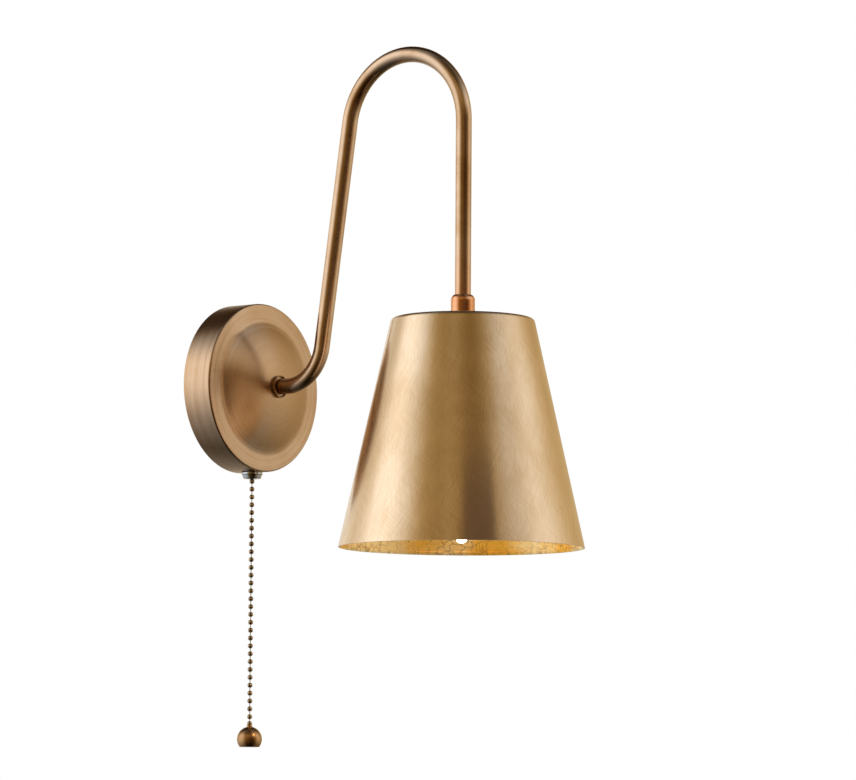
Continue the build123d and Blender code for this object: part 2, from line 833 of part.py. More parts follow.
with BuildPart() as led_engine:
    with BuildSketch(Plane(origin=(0, -reach, glass_top - led_plate_gap))):
        Circle(bulb_waist_radius - glass_wall - loose_gap)
    extrude(amount=-led_plate)
    with BuildSketch(Plane(origin=(0, -reach, glass_top - led_plate_gap - led_plate))):
        Circle(led_post_radius)
    extrude(amount=-led_post_height)
led_engine.part.label = "led_engine"
export_step(led_engine.part, "parts/led_engine.step")

# ---------------------------------------------------------------- pull switch

with BuildPart() as switch_housing:
    with BuildSketch(Plane.XZ.offset(housing_back + switch_lid_thickness)):
        with Locations((0, (housing_bottom + housing_top) / 2)):
            RectangleRounded(switch_width, switch_height, switch_corner)
    extrude(amount=switch_thickness)
    with BuildSketch(Plane.XZ.offset(housing_back + switch_lid_thickness)):
        with Locations((0, (cavity_floor + housing_top - switch_wall) / 2)):
            Rectangle(switch_width - 4 * switch_wall, switch_height - 2 * switch_wall)
    extrude(amount=switch_thickness - switch_wall, mode=Mode.SUBTRACT)
    with BuildSketch(Plane.XY.offset(housing_bottom)):
        with Locations((0, -switch_depth)):
            Circle(neck_radius + thread_fit)
    extrude(amount=switch_wall, mode=Mode.SUBTRACT)
switch_housing.part.label = "switch_housing"
export_step(switch_housing.part, "parts/switch_housing.step")

with BuildPart() as switch_lid:
    with BuildSketch(Plane.XZ.offset(housing_back - seat_gap)):
        with Locations((0, (housing_bottom + housing_top) / 2)):
            RectangleRounded(switch_width, switch_height, switch_corner)
    extrude(amount=switch_lid_thickness)
switch_lid.part.label = "switch_lid"
export_step(switch_lid.part, "parts/switch_lid.step")

with BuildPart() as switch_neck:
    with BuildSketch(switch_plane):
        with BuildLine():
            Polyline(
                (neck_bore, neck_tip),
                (neck_radius, neck_tip),
                (neck_radius, cavity_floor + seat_gap),
                (neck_flange_radius, cavity_floor + seat_gap),
                (neck_flange_radius, cavity_floor + seat_gap + neck_flange),
                (neck_bore, cavity_floor + seat_gap + neck_flange),
                close=True,
            )
        make_face()
    revolve(axis=switch_axis)
switch_neck.part.label = "switch_neck"
export_step(switch_neck.part, "parts/switch_neck.step")

# The flat nut meets the curved wall at its corners.
locknut_corner = locknut_across_flats / sqrt(3)
locknut_foot = -sqrt(plate_inside_radius ** 2 - locknut_corner ** 2) + seat_gap
with BuildPart() as switch_locknut:
    with BuildSketch(Plane(origin=(0, -switch_depth, locknut_foot))):
        RegularPolygon(locknut_across_flats / 2, 6, major_radius=False)
        Circle(neck_radius + thread_fit, mode=Mode.SUBTRACT)
    extrude(amount=locknut_height)
    chamfer(switch_locknut.faces().sort_by(Axis.Z)[-1].outer_wire().edges(), length=nut_chamfer)
switch_locknut.part.label = "switch_locknut"
export_step(switch_locknut.part, "parts/switch_locknut.step")

with BuildPart() as switch_ferrule:
    with BuildSketch(switch_plane):
        with BuildLine():
            Polyline(
                (ferrule_mouth_radius, ferrule_bottom),
                (neck_bore, neck_tip - seat_gap),
                (neck_radius + thread_fit, neck_tip - seat_gap),
                (neck_radius + thread_fit, ferrule_top),
                (ferrule_radius, ferrule_top),
                (ferrule_radius, ferrule_top - ferrule_flange),
                (ferrule_shoulder_radius, ferrule_top - ferrule_flange),
            )
            ThreePointArc(
                (ferrule_shoulder_radius, ferrule_top - ferrule_flange),
                (ferrule_bulge[0], ferrule_top - ferrule_bulge[1]),
                (ferrule_mouth_radius, ferrule_bottom),
            )
        make_face()
    revolve(axis=switch_axis)
switch_ferrule.part.label = "switch_ferrule"
export_step(switch_ferrule.part, "parts/switch_ferrule.step")

switch_lead_x = (switch_terminal + terminal_gap) / 2 + switch_terminal / 2
with BuildPart() as switch_terminals:
    with BuildSketch(Plane.XY.offset(housing_top)):
        with Locations((-switch_lead_x, -switch_depth), (switch_lead_x, -switch_depth)):
            Rectangle(switch_terminal, switch_terminal)
    extrude(amount=switch_terminal)
switch_terminals.part.label = "switch_terminals"
export_step(switch_terminals.part, "parts/switch_terminals.step")

# ---------------------------------------------------------------- bead chain

cavity_radius = bead_radius - bead_wall
swivel_bead = first_bead + bead_pitch
top_bead = swivel_bead + bead_pitch
bead_hole_height = sqrt(bead_radius ** 2 - bead_hole_radius ** 2)
cavity_height = bead_hole_height - bead_wall
head_foot = link_head_gap
head_crown = head_foot + link_head
head_pivot = head_foot + link_head / 2

# One hollow bead, with its centre at the origin and a hole at its top and bottom.
with BuildPart() as bead:
    with BuildSketch(Plane.XZ):
        with BuildLine():
            ThreePointArc(
                (bead_hole_radius, -bead_hole_height),
                (bead_radius, 0),
                (bead_hole_radius, bead_hole_height),
            )
            Polyline(
                (bead_hole_radius, bead_hole_height),
                (bead_hole_radius, cavity_height),
                (cavity_radius, cavity_radius / 3),
                (cavity_radius, -cavity_radius / 3),
                (bead_hole_radius, -cavity_height),
                (bead_hole_radius, -bead_hole_height),
            )
        make_face()
    revolve(axis=Axis.Z)

# One link, from the bead above to the bead at the origin: a thin shank with a head at each end,
# as a dumbbell, caught inside the two beads.
with BuildPart() as link:
    with BuildSketch(Plane.XZ):
        with BuildLine():
            Polyline(
                (0, head_foot),
                (head_flat_radius, head_foot),
                (link_head_radius, head_pivot),
                (shank_radius, head_crown),
                (shank_radius, bead_pitch - head_crown),
                (link_head_radius, bead_pitch - head_pivot),
                (head_flat_radius, bead_pitch - head_foot),
                (0, bead_pitch - head_foot),
                close=True,
            )
        make_face()
    revolve(axis=Axis.Z)


spindle_foot = top_bead + bead_radius + spindle_gap
spindle_shoulder = cavity_floor + neck_flange + spindle_rise
with BuildPart() as pull_spindle:
    with BuildSketch(switch_plane):
        with BuildLine():
            Polyline(
                (0, top_bead + head_foot),
                (head_flat_radius, top_bead + head_foot),
                (link_head_radius, top_bead + head_pivot),
                (shank_radius, top_bead + head_crown),
                (shank_radius, spindle_foot),
                (spindle_radius, spindle_foot),
                (spindle_radius, spindle_shoulder),
                (spindle_head_radius, spindle_shoulder),
                (spindle_head_radius, spindle_shoulder + spindle_head),
                (0, spindle_shoulder + spindle_head),
                close=True,
            )
        make_face()
    revolve(axis=switch_axis)
pull_spindle.part.label = "pull_spindle"
export_step(pull_spindle.part, "parts/pull_spindle.step")

spring_foot = cavity_floor + seat_gap + neck_flange + seat_gap + spring_wire
spring_head = spindle_shoulder - seat_gap - spring_wire
spring_rise = spring_head - spring_foot
with BuildPart() as return_spring:
    with BuildLine() as spring_line:
        spring_start = (0, -switch_depth, spring_foot)
        Helix(spring_rise / spring_turns, spring_rise, spring_radius, center=spring_start)
    with BuildSketch(Plane(origin=spring_line.line @ 0, z_dir=spring_line.line % 0)):
        RegularPolygon(spring_wire, 4)
    sweep(is_frenet=True)
return_spring.part.label = "return_spring"
export_step(return_spring.part, "parts/return_spring.step")

with BuildPart() as spindle_beads:
    with Locations((0, -switch_depth, top_bead), (0, -switch_depth, swivel_bead)):
        add(bead.part)
    with Locations((0, -switch_depth, swivel_bead)):
        add(link.part)
spindle_beads.part.label = "spindle_beads"
export_step(spindle_beads.part, "parts/spindle_beads.step")

swing_steps = 3
for step in range(swing_steps):
    with BuildPart() as swing_bead:
        with Locations((0, -switch_depth, first_bead - step * bead_pitch)):
            add(bead.part)
            add(link.part)
    swing_bead.part.label = f"swing_bead_{step + 1}"
    export_step(swing_bead.part, f"parts/swing_bead_{step + 1}.step")

# The rest of the chain moves as one piece: a link into the first bead, then beads on shanks.
strand_beads = [first_bead - count * bead_pitch for count in range(swing_steps, hanging_beads)] + [end_bead]
shank_height = sqrt(bead_radius ** 2 - shank_radius ** 2)
with BuildPart() as bead_strand:
    with BuildSketch(switch_plane):
        with BuildLine():
            for height in strand_beads:
                ThreePointArc(
                    (shank_radius, height + shank_height),
                    (bead_radius, height),
                    (shank_radius, height - shank_height),
                )
            for upper, lower in zip(strand_beads, strand_beads[1:]):
                Line((shank_radius, upper - shank_height), (shank_radius, lower + shank_height))
            strand_head = strand_beads[0] + bead_pitch
            Polyline(
                (shank_radius, strand_beads[0] + shank_height),
                (shank_radius, strand_head - head_crown),
                (link_head_radius, strand_head - head_pivot),
                (head_flat_radius, strand_head - head_foot),
                (0, strand_head - head_foot),
                (0, ball_top - ball_pin),
                (shank_radius, ball_top - ball_pin),
                (shank_radius, end_bead - shank_height),
            )
        make_face()
    revolve(axis=switch_axis)
bead_strand.part.label = "bead_strand"
export_step(bead_strand.part, "parts/bead_strand.step")

# ---------------------------------------------------------------- pull ball

ball_centre = ball_top - ball_collar_height - sqrt(ball_radius ** 2 - ball_collar_radius ** 2)
with BuildPart() as pull_ball:
    with BuildSketch(switch_plane):
        with BuildLine():
            flat_radius = sqrt(ball_radius ** 2 - ball_flat_drop ** 2)
            Polyline(
                (0, ball_top - ball_pin - seat_gap),
                (shank_radius + slip_fit, ball_top - ball_pin - seat_gap),
                (shank_radius + slip_fit, end_bead - bead_radius - seat_gap),
                (ball_cup_floor, end_bead - bead_radius - seat_gap),
                (ball_cup_radius, ball_top),
                (ball_collar_radius - ball_collar_bevel, ball_top),
                (ball_collar_radius, ball_top - ball_collar_bevel),
                (ball_collar_radius, ball_top - ball_collar_height),
            )
            ThreePointArc(
                (ball_collar_radius, ball_top - ball_collar_height),
                (ball_radius, ball_centre),
                (flat_radius, ball_centre - ball_flat_drop),
            )
            Polyline(
                (flat_radius, ball_centre - ball_flat_drop),
                (0, ball_centre - ball_flat_drop),
                (0, ball_top - ball_pin - seat_gap),
            )
        make_face()
    revolve(axis=switch_axis)
pull_ball.part.label = "pull_ball"
export_step(pull_ball.part, "parts/pull_ball.step")

# ---------------------------------------------------------------- wiring

flex_back = nipple_back - flex_tail
with BuildPart() as arm_flex:
    with BuildLine(side_plane):
        arm_route(flex_back, insert_top + loose_gap)
    with BuildSketch(Plane.XZ.offset(flex_back)):
        RegularPolygon(flex_radius, lead_sides)
    sweep()
arm_flex.part.label = "arm_flex"
export_step(arm_flex.part, "parts/arm_flex.step")

core_side = core_circle * cos(radians(30))
core_turn = flex_back - core_tail
lead_entry = block_bottom + lead_into_block
lead_routes = {
    "neutral_lead": [
        (-core_side, -flex_back, core_circle / 2),
        (-core_side, -core_turn, core_circle / 2),
        (-pole_pitch, -pole_depth, lead_rise),
        (-pole_pitch, -pole_depth, lead_entry),
    ],
    "earth_lead": [
        (core_side, -flex_back, core_circle / 2),
        (core_side, -core_turn, core_circle / 2),
        (pole_pitch, -pole_depth, lead_rise),
        (pole_pitch, -pole_depth, lead_entry),
    ],
    "switched_lead": [
        (0, -flex_back, -core_circle),
        (0, -core_turn, -core_circle),
        (-switch_lead_x, -switch_depth, -lead_drop),
        (-switch_lead_x, -switch_depth, housing_top + switch_terminal + seat_gap),
    ],
    "live_lead": [
        (0, -pole_depth, lead_entry),
        (0, -pole_depth, lead_rise * 2),
        (switch_lead_x, -switch_depth, lead_rise - lead_drop),
        (switch_lead_x, -switch_depth, housing_top + switch_terminal + seat_gap),
    ],
}
for lead_name, lead_points in lead_routes.items():
    with BuildPart() as lead:
        with BuildLine() as lead_line:
            FilletPolyline(*lead_points, radius=lead_bend)
        with BuildSketch(Plane(origin=lead_line.line @ 0, z_dir=lead_line.line % 0)):
            RegularPolygon(lead_radius, lead_sides)
        sweep()
    lead.part.label = lead_name
    export_step(lead.part, f"parts/{lead_name}.step")
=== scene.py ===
from math import atan2, cos, degrees, hypot, pi, radians, sin, sqrt, tan

import bmesh
import bpy
from mathutils import Matrix, Vector


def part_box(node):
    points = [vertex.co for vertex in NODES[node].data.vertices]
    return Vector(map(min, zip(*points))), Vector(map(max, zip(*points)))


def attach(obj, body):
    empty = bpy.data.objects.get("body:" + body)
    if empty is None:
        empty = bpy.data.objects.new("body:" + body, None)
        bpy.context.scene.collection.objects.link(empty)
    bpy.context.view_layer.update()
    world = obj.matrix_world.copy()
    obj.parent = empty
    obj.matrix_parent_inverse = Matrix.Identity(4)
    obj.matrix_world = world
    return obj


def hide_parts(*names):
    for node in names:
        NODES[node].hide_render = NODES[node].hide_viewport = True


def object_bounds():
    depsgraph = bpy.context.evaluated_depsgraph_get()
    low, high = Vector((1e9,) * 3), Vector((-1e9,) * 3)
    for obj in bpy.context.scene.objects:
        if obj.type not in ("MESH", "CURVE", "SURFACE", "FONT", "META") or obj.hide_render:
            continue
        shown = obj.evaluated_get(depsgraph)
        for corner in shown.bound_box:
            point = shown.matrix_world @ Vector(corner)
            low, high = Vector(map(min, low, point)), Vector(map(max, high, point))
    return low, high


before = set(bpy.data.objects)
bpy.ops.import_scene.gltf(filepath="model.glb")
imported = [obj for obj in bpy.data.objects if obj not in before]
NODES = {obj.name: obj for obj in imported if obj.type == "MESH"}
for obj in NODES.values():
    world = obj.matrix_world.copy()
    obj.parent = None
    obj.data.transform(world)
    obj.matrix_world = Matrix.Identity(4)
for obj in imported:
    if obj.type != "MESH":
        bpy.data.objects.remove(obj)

bl_info = {
    "name": "Swan-neck wall sconce",
    "version": (1, 0, 0),
    "blender": (4, 5, 0),
    "location": "View3D > Sidebar > Sconce",
    "description": "Dresses a wall sconce with a hanging cone shade and a pull chain",
    "category": "Object",
}

CAD_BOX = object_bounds()
ORIGIN = Vector((0, 0, 0))
ROUND_MAP = "Round"  # the UV map of turned pieces
SHARP_ANGLE = 32  # edges that turn by more degrees stay sharp


def low(node):
    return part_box(node)[0]


def high(node):
    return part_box(node)[1]


def middle(node):
    return (low(node) + high(node)) / 2


def upright(node):
    """The foot of the upright line through a node's middle."""
    centre = middle(node)
    return Vector((centre.x, centre.y, 0))


# ---------------------------------------------------------------- properties


def length(name, default, description):
    return bpy.props.FloatProperty(
        name=name, default=default, description=description, min=0.0, unit="LENGTH", precision=5
    )


def number(name, default, description, unit="NONE"):
    return bpy.props.FloatProperty(name=name, default=default, description=description, min=0.0, unit=unit)


def turn(name, default, description):
    return bpy.props.FloatProperty(
        name=name, default=radians(default), description=description, subtype="ANGLE"
    )


def count(name, default, description):
    return bpy.props.IntProperty(name=name, default=default, description=description, min=1)


def colour(name, default, description):
    return bpy.props.FloatVectorProperty(
        name=name, default=default, description=description, size=3, min=0.0, max=1.0, subtype="COLOR"
    )


class SconceSizes(bpy.types.PropertyGroup):
    """Sizes that the dressed pieces take, beside those read from the frame."""

    plate_depth: length("Plate depth", 0.0258, "From the wall to the plate's flat ring")
    plate_wall: length("Plate sheet", 0.0012, "Thickness of the plate's sheet")
    plate_rim_round: length("Plate edge", 0.0016, "Radius of the plate's front edge")
    dome_radius: length("Dome ball", 0.097, "Radius of the ball that the plate's dome is cut from")
    dome_sweep: length("Dome sweep", 0.011, "Radius of the hollow at the dome's foot")
    dome_top_radius: length("Dome flat", 0.0098, "Radius of the flat at the dome's top")
    foot_straight: length("Foot straight", 0.0096, "Straight run of the arm out of the collar")
    lower_bend: length("Lower bend", 0.0337, "Centre-line radius of the arm's lower bend")
    lean_angle: turn("Lean", 8.6, "Lean of the arm's rising run from upright")
    lean_straight: length("Leaning run", 0.17235, "Length of the arm's leaning run")
    upper_bend: length("Arch", 0.0552, "Centre-line radius of the arch")
    shade_top_radius: length("Shade top radius", 0.0534, "Radius where the shade's top and side meet")
    shade_wall: length("Shade sheet", 0.001, "Thickness of the shade's sheet")
    shade_edge_round: length("Shade top edge", 0.0034, "Radius of the shade's top edge")
    hem_height: length("Hem height", 0.0024, "Height of the turned hem inside the rim")
    hem_thickness: length("Hem thickness", 0.0007, "How far the turned hem stands in")
    groove_depth: length("Groove depth", 0.00025, "Depth of the coupler's turned grooves")
    groove_width: length("Groove width", 0.0007, "Width of the coupler's turned grooves")
    coupler_neck_radius: length("Coupler neck", 0.0072, "Radius of the coupler's top edge")
    coupler_shoulder_radius: length("Coupler shoulder", 0.0084, "Radius halfway down the coupler's taper")
    coupler_taper: length("Coupler taper", 0.0028, "Height of the coupler's taper")
    lower_groove: number("Lower groove", 0.467, "Height of the lower groove as a share of the coupler's")
    upper_groove: number("Upper groove", 0.682, "Height of the upper groove as a share of the coupler's")
    bead_pitch: length("Bead pitch", 0.00604, "From one bead of the chain to the next")
    bead_hole: length("Bead hole", 0.0008, "Radius of the hole at each end of a bead")
    bead_wall: length("Bead sheet", 0.00035, "Thickness of the hollow beads")
    shank_radius: length("Link radius", 0.00035, "Radius of the links between the beads")
    end_bead_drop: length("End bead drop", 0.0051, "From the last bead to the one in the ball's cup")
    end_bead_rise: length("End bead rise", 0.00105, "From the ball's top to the end bead's middle")
    ball_radius: length("Ball radius", 0.0096, "Radius of the pull ball")
    ball_collar_radius: length("Ball neck", 0.0022, "Radius of the low neck on the ball")
    ball_flat_drop: length("Ball flat", 0.006, "From the ball's middle to its flat foot")
    ball_edge: length("Ball edge", 0.0001, "Rounding of the edges of the ball's cup")
    cup_depth: length("Ball cup", 0.0012, "Depth of the cup in the ball's top")
    thread_pitch: length("Thread pitch", 0.001, "Pitch of the fine tube threads")
    thread_depth: length("Thread depth", 0.00032, "Height of the fine tube threads")
    bulb_tip_radius: length("Bulb tip", 0.0046, "Radius of the candle bulb's tip")
    bulb_belly: length("Bulb belly", 0.048, "Height of the bulb's widest place over its tip")
    drill_reach: length("Drill reach", 0.004, "How far the hole for the switch is drilled each way")
    steps: count("Steps", 160, "Steps round a turned piece")
    tube_sides: count("Arm sides", 64, "Sides of the arm's tube")
    bead_steps: count("Bead steps", 28, "Steps round a bead")
    link_steps: count("Link steps", 16, "Steps round a link of the chain")
    thread_steps: count("Thread steps", 24, "Steps in each turn of a thread")


class SconceFinishes(bpy.types.PropertyGroup):
    """Colours of the finishes, and the bulb's light."""

    brass: colour("Brass", (0.74, 0.535, 0.375), "Brushed antique brass")
    brass_dark: colour("Dark brass", (0.56, 0.35, 0.19), "Brown of the brass's grooves and dull patches")
    copper: colour("Copper", (0.93, 0.38, 0.16), "Reddened brass near the coupler")
    shade_brass: colour("Shade brass", (0.93, 0.72, 0.52), "Satin brass outside the shade")
    shade_stain: colour("Shade stain", (0.76, 0.52, 0.28), "Duller patches outside the shade")
    shade_dull: colour("Dull scratches", (0.52, 0.34, 0.14), "Brown hairline scratches on the shade")
    shade_scratch: colour("Shade scratches", (0.93, 0.80, 0.58), "Bright hairline scratches on the shade")
    leaf: colour("Leaf", (0.98, 0.55, 0.07), "Gold leaf inside the shade")
    # Partly painted highlight: the paler leaf also stands in for the bright reflections at the shade's inner
    # sides.
    leaf_pale_and_sheen: colour("Pale leaf", (1.0, 0.77, 0.36), "Paler sheets of the gold leaf")
    leaf_vein: colour("Leaf cracks", (0.33, 0.16, 0.05), "Ground that shows in the leaf's cracks")
    bronze: colour("Bronze", (0.62, 0.38, 0.19), "Burnished bronze of the pull ball")
    bronze_dark: colour("Dark bronze", (0.46, 0.26, 0.12), "Darker clouds in the bronze")
    bead: colour("Beads", (0.66, 0.52, 0.35), "Beads of the chain")
    chrome: colour("Chrome", (0.68, 0.72, 0.79), "Polished ferrule")
    steel: colour("Zinc", (0.62, 0.62, 0.63), "Zinc-plated steel")
    plain_brass: colour("Plain brass", (0.80, 0.62, 0.33), "Bright turned brass")
    nickel: colour("Nickel", (0.75, 0.74, 0.72), "Cap of the bulb")
    nickel_dark: colour("Dark nickel", (0.5, 0.48, 0.45), "Tarnish on the bulb's cap")
    bulb: colour("Bulb", (0.95, 0.94, 0.91), "Opal glass")
    bulb_light: colour("Bulb light", (1.0, 0.93, 0.80), "Light of the bulb")
    bulb_glow: number("Bulb glow", 7.0, "Strength of the bulb's light")
    black: colour("Black plastic", (0.025, 0.025, 0.026), "Lampholder and switch")
    white: colour("White plastic", (0.82, 0.81, 0.78), "Terminal block and insulation")
    core_brown: colour("Brown core", (0.22, 0.10, 0.045), "Live core")
    core_blue: colour("Blue core", (0.06, 0.20, 0.50), "Neutral core")
    core_black: colour("Black core", (0.03, 0.03, 0.03), "Switched core")
    core_green: colour("Green core", (0.05, 0.30, 0.07), "Ground of the earth core")
    core_yellow: colour("Yellow stripe", (0.85, 0.70, 0.05), "Stripe of the earth core")


class SconceStage(bpy.types.PropertyGroup):
    """Camera, floor and studio light."""

    azimuth: turn("Azimuth", -52.0, "Camera's turn round the plate from straight in front")
    elevation: turn("Elevation", -5.67, "Camera's height angle")
    roll: turn("Roll", 0.35, "Camera's roll")
    distance: length("Distance", 3.459, "From the camera to the plate's face")
    scale: number("Image scale", 1296.0, "Pixels per metre at the plate's face")
    target_depth: length("Target depth", 0.0252, "Depth of the point that sets the camera's place")
    target_x: number("Plate across", 263.8, "Pixel column of the plate's centre")
    target_y: number("Plate down", 387.85, "Pixel row of the plate's centre")
    floor_drop: length("Floor drop", 0.17, "From the object's foot to the floor")
    floor_shine: number("Floor shine", 0.82, "Share of the floor that the camera sees as plain white")
    paper: colour("Paper", (0.86, 0.86, 0.86), "Paper of the floor")
    paper_pale: colour("Pale paper", (0.89, 0.89, 0.89), "Paler fibres of the floor's paper")
    card: colour("Card", (0.17, 0.10, 0.055), "Dark card that the shade's shine shows")
    card_pale: colour("Pale card", (0.22, 0.14, 0.08), "Paler threads of the card's cloth")
    key: number("Left softbox", 36.0, "Softbox on the camera's left", "POWER")
    fill: number("Right softbox", 26.0, "Softbox on the camera's right", "POWER")
    room: number("Room light", 0.5, "Strength of the even light from all round")
    screens: number("Screens", 1.0, "Brightness of the studio screens that metal shows")


def sizes():
    return bpy.context.scene.sconce_sizes


def finishes():
    return bpy.context.scene.sconce_finishes


def stage_settings():
    return bpy.context.scene.sconce_stage


# ---------------------------------------------------------------- outlines


def arc(centre, radius, start, end, steps):
    """Points on an arc, with its angles in degrees."""
    turns = [radians(start + (end - start) * step / steps) for step in range(steps + 1)]
    return [(centre[0] + radius * cos(a), centre[1] + radius * sin(a)) for a in turns]


def rounded(points, radii, steps=6):
    """The polyline with its inner corners rounded, one radius for each."""
    out = [points[0]]
    for before, corner, after, radius in zip(points, points[1:], points[2:], radii):
        a = (Vector(before) - Vector(corner)).normalized()
        b = (Vector(after) - Vector(corner)).normalized()
        half = a.angle(b) / 2
        if radius == 0 or abs(half - pi / 2) < 1e-4:
            out.append(corner)
            continue
        centre = Vector(corner) + (a + b).normalized() * radius / sin(half)
        first = Vector(corner) + a * radius / tan(half) - centre
        last = Vector(corner) + b * radius / tan(half) - centre
        sweep = first.angle_signed(last)
        for step in range(steps + 1):
            turned_by = -sweep * step / steps
            c, s = cos(turned_by), sin(turned_by)
            out.append((centre.x + c * first.x - s * first.y, centre.y + s * first.x + c * first.y))
    out.append(points[-1])
    return out


def walled(points, thickness):
    """The closed outline of a sheet that lies on the right of the polyline."""
    inner = []
    for index, point in enumerate(points):
        sides = []
        if index > 0:
            sides.append(Vector(point) - Vector(points[index - 1]))
        if index < len(points) - 1:
            sides.append(Vector(points[index + 1]) - Vector(point))
        normals = [Vector((side.y, -side.x)).normalized() for side in sides]
        normal = sum(normals, Vector((0, 0))).normalized()
        reach = thickness / max(normal.dot(normals[0]), 0.2)
        inner.append((point[0] + normal.x * reach, point[1] + normal.y * reach))
    return list(points) + inner[::-1]


# ---------------------------------------------------------------- meshes


def linked(name, data):
    """A new object in the scene."""
    piece = bpy.data.objects.new(name, data)
    bpy.context.scene.collection.objects.link(piece)
    return piece


def sheet_of(name, corners):
    """A flat sheet between four corners."""
    mesh = bpy.data.meshes.new(name)
    mesh.from_pydata(corners, [], [(0, 1, 2, 3)])
    return linked(name, mesh)


def smoothed(mesh):
    mesh.shade_smooth()
    mesh.set_sharp_from_angle(angle=radians(SHARP_ANGLE))


def evaluated(piece, name):
    """The plain mesh that a piece's modifier makes, smooth but for its sharp edges."""
    bpy.context.view_layer.update()
    mesh = bpy.data.meshes.new_from_object(piece.evaluated_get(bpy.context.evaluated_depsgraph_get()))
    mesh.name = name
    smoothed(mesh)
    return mesh


def turned(name, outline, centre, wallward=False, closed=True, steps=None):
    """A piece turned from an outline of (radius, height) about an upright axis, or one out of the wall.

    Its UV map is in metres: round the piece, then along its outline.
    """
    steps = steps or sizes().steps
    mesh = bpy.data.meshes.new(name)
    build = bmesh.new()
    layer = build.loops.layers.uv.new(ROUND_MAP)
    along = [0.0]
    for a, b in zip(outline, outline[1:]):
        along.append(along[-1] + hypot(b[0] - a[0], b[1] - a[1]))
    if closed:
        along.append(along[-1] + hypot(outline[0][0] - outline[-1][0], outline[0][1] - outline[-1][1]))
    widest = max(radius for radius, height in outline)
    rings = []
    for radius, height in outline:
        ring = []
        for step in range(1 if radius < 1e-7 else steps):
            a = 2 * pi * step / steps + pi / 2
            across, out = radius * cos(a), radius * sin(a)
            place = (across, -height, out) if wallward else (across, out, height)
            ring.append(build.verts.new(centre + Vector(place)))
        rings.append(ring)
    pairs = list(zip(range(len(rings)), range(1, len(rings))))
    if closed:
        pairs.append((len(rings) - 1, 0))
    for index, (i, j) in enumerate(pairs):
        first, second = rings[i], rings[j]
        if len(first) == 1 and len(second) == 1:
            continue
        for step in range(steps):
            following = (step + 1) % steps
            corners = [
                (first[step % len(first)], step, index),
                (first[following % len(first)], step + 1, index),
                (second[following % len(second)], step + 1, index + 1),
                (second[step % len(second)], step, index + 1),
            ]
            kept = []
            for corner in corners:
                if corner[0] not in [other[0] for other in kept]:
                    kept.append(corner)
            face = build.faces.new([corner[0] for corner in kept])
            for loop, corner in zip(face.loops, kept):
                loop[layer].uv = (2 * pi * widest * corner[1] / steps, along[corner[2]])
    bmesh.ops.recalc_face_normals(build, faces=build.faces)
    build.to_mesh(mesh)
    build.free()
    smoothed(mesh)
    return linked(name, mesh)


def drilled(piece, drill):
    """Cuts the drill's shape out of a piece."""
    cut = piece.modifiers.new("Drill", "BOOLEAN")
    cut.operation, cut.solver, cut.object = "DIFFERENCE", "EXACT", drill
    mesh = evaluated(piece, piece.data.name)
    piece.modifiers.remove(cut)
    piece.data = mesh
    bpy.data.objects.remove(drill)


def finish(piece, body, slot, material, *replaced):
    """Gives a piece its finish and its body, and lets it stand for CAD nodes. The slot is not used."""
    if not piece.data.polygons:
        raise RuntimeError(piece.name + " came out empty")
    piece.data.materials.clear()
    piece.data.materials.append(material)
    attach(piece, body)
    if replaced:
        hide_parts(*replaced)


def dress(material, *nodes):
    """Gives CAD nodes that stay a material."""
    for node in nodes:
        NODES[node].data.materials.clear()
        NODES[node].data.materials.append(material)


# ---------------------------------------------------------------- nodes


class Nodes:
    """A node tree with short calls for its nodes."""

    def __init__(self, tree):
        self.tree = tree

    def feed(self, socket, value):
        """Links an input to another node's output, or sets its value or its colour."""
        if isinstance(value, bpy.types.NodeSocket):
            self.tree.links.new(value, socket)
        elif socket.type == "RGBA":
            socket.default_value = (*value, 1.0)
        else:
            socket.default_value = value

    def node(self, kind, inputs=None, **settings):
        made = self.tree.nodes.new(kind)
        for title, value in settings.items():
            setattr(made, title, value)
        for socket, value in (inputs or {}).items():
            self.feed(made.inputs[socket], value)
        return made

    def calc(self, operation, *values, clamp=False):
        inputs = dict(enumerate(values))
        return self.node("ShaderNodeMath", inputs, operation=operation, use_clamp=clamp).outputs[0]

    def weighed(self, *pairs):
        """The sum of values, each times its share."""
        total = self.calc("MULTIPLY", *pairs[0])
        for value, share in pairs[1:]:
            total = self.calc("MULTIPLY_ADD", value, share, total)
        return total

    def split(self, vector):
        return self.node("ShaderNodeSeparateXYZ", {0: vector}).outputs

    def blend(self, share, first, second, kind="MIX"):
        """Two colours mixed, with a share of the second."""
        inputs = {0: share, 6: first, 7: second}
        settings = {"data_type": "RGBA", "blend_type": kind, "clamp_factor": True}
        return self.node("ShaderNodeMix", inputs, **settings).outputs[2]

    def layer(self, share, under, over):
        """One shader, with a share of another in its place."""
        return self.node("ShaderNodeMixShader", {0: share, 1: under, 2: over}).outputs[0]


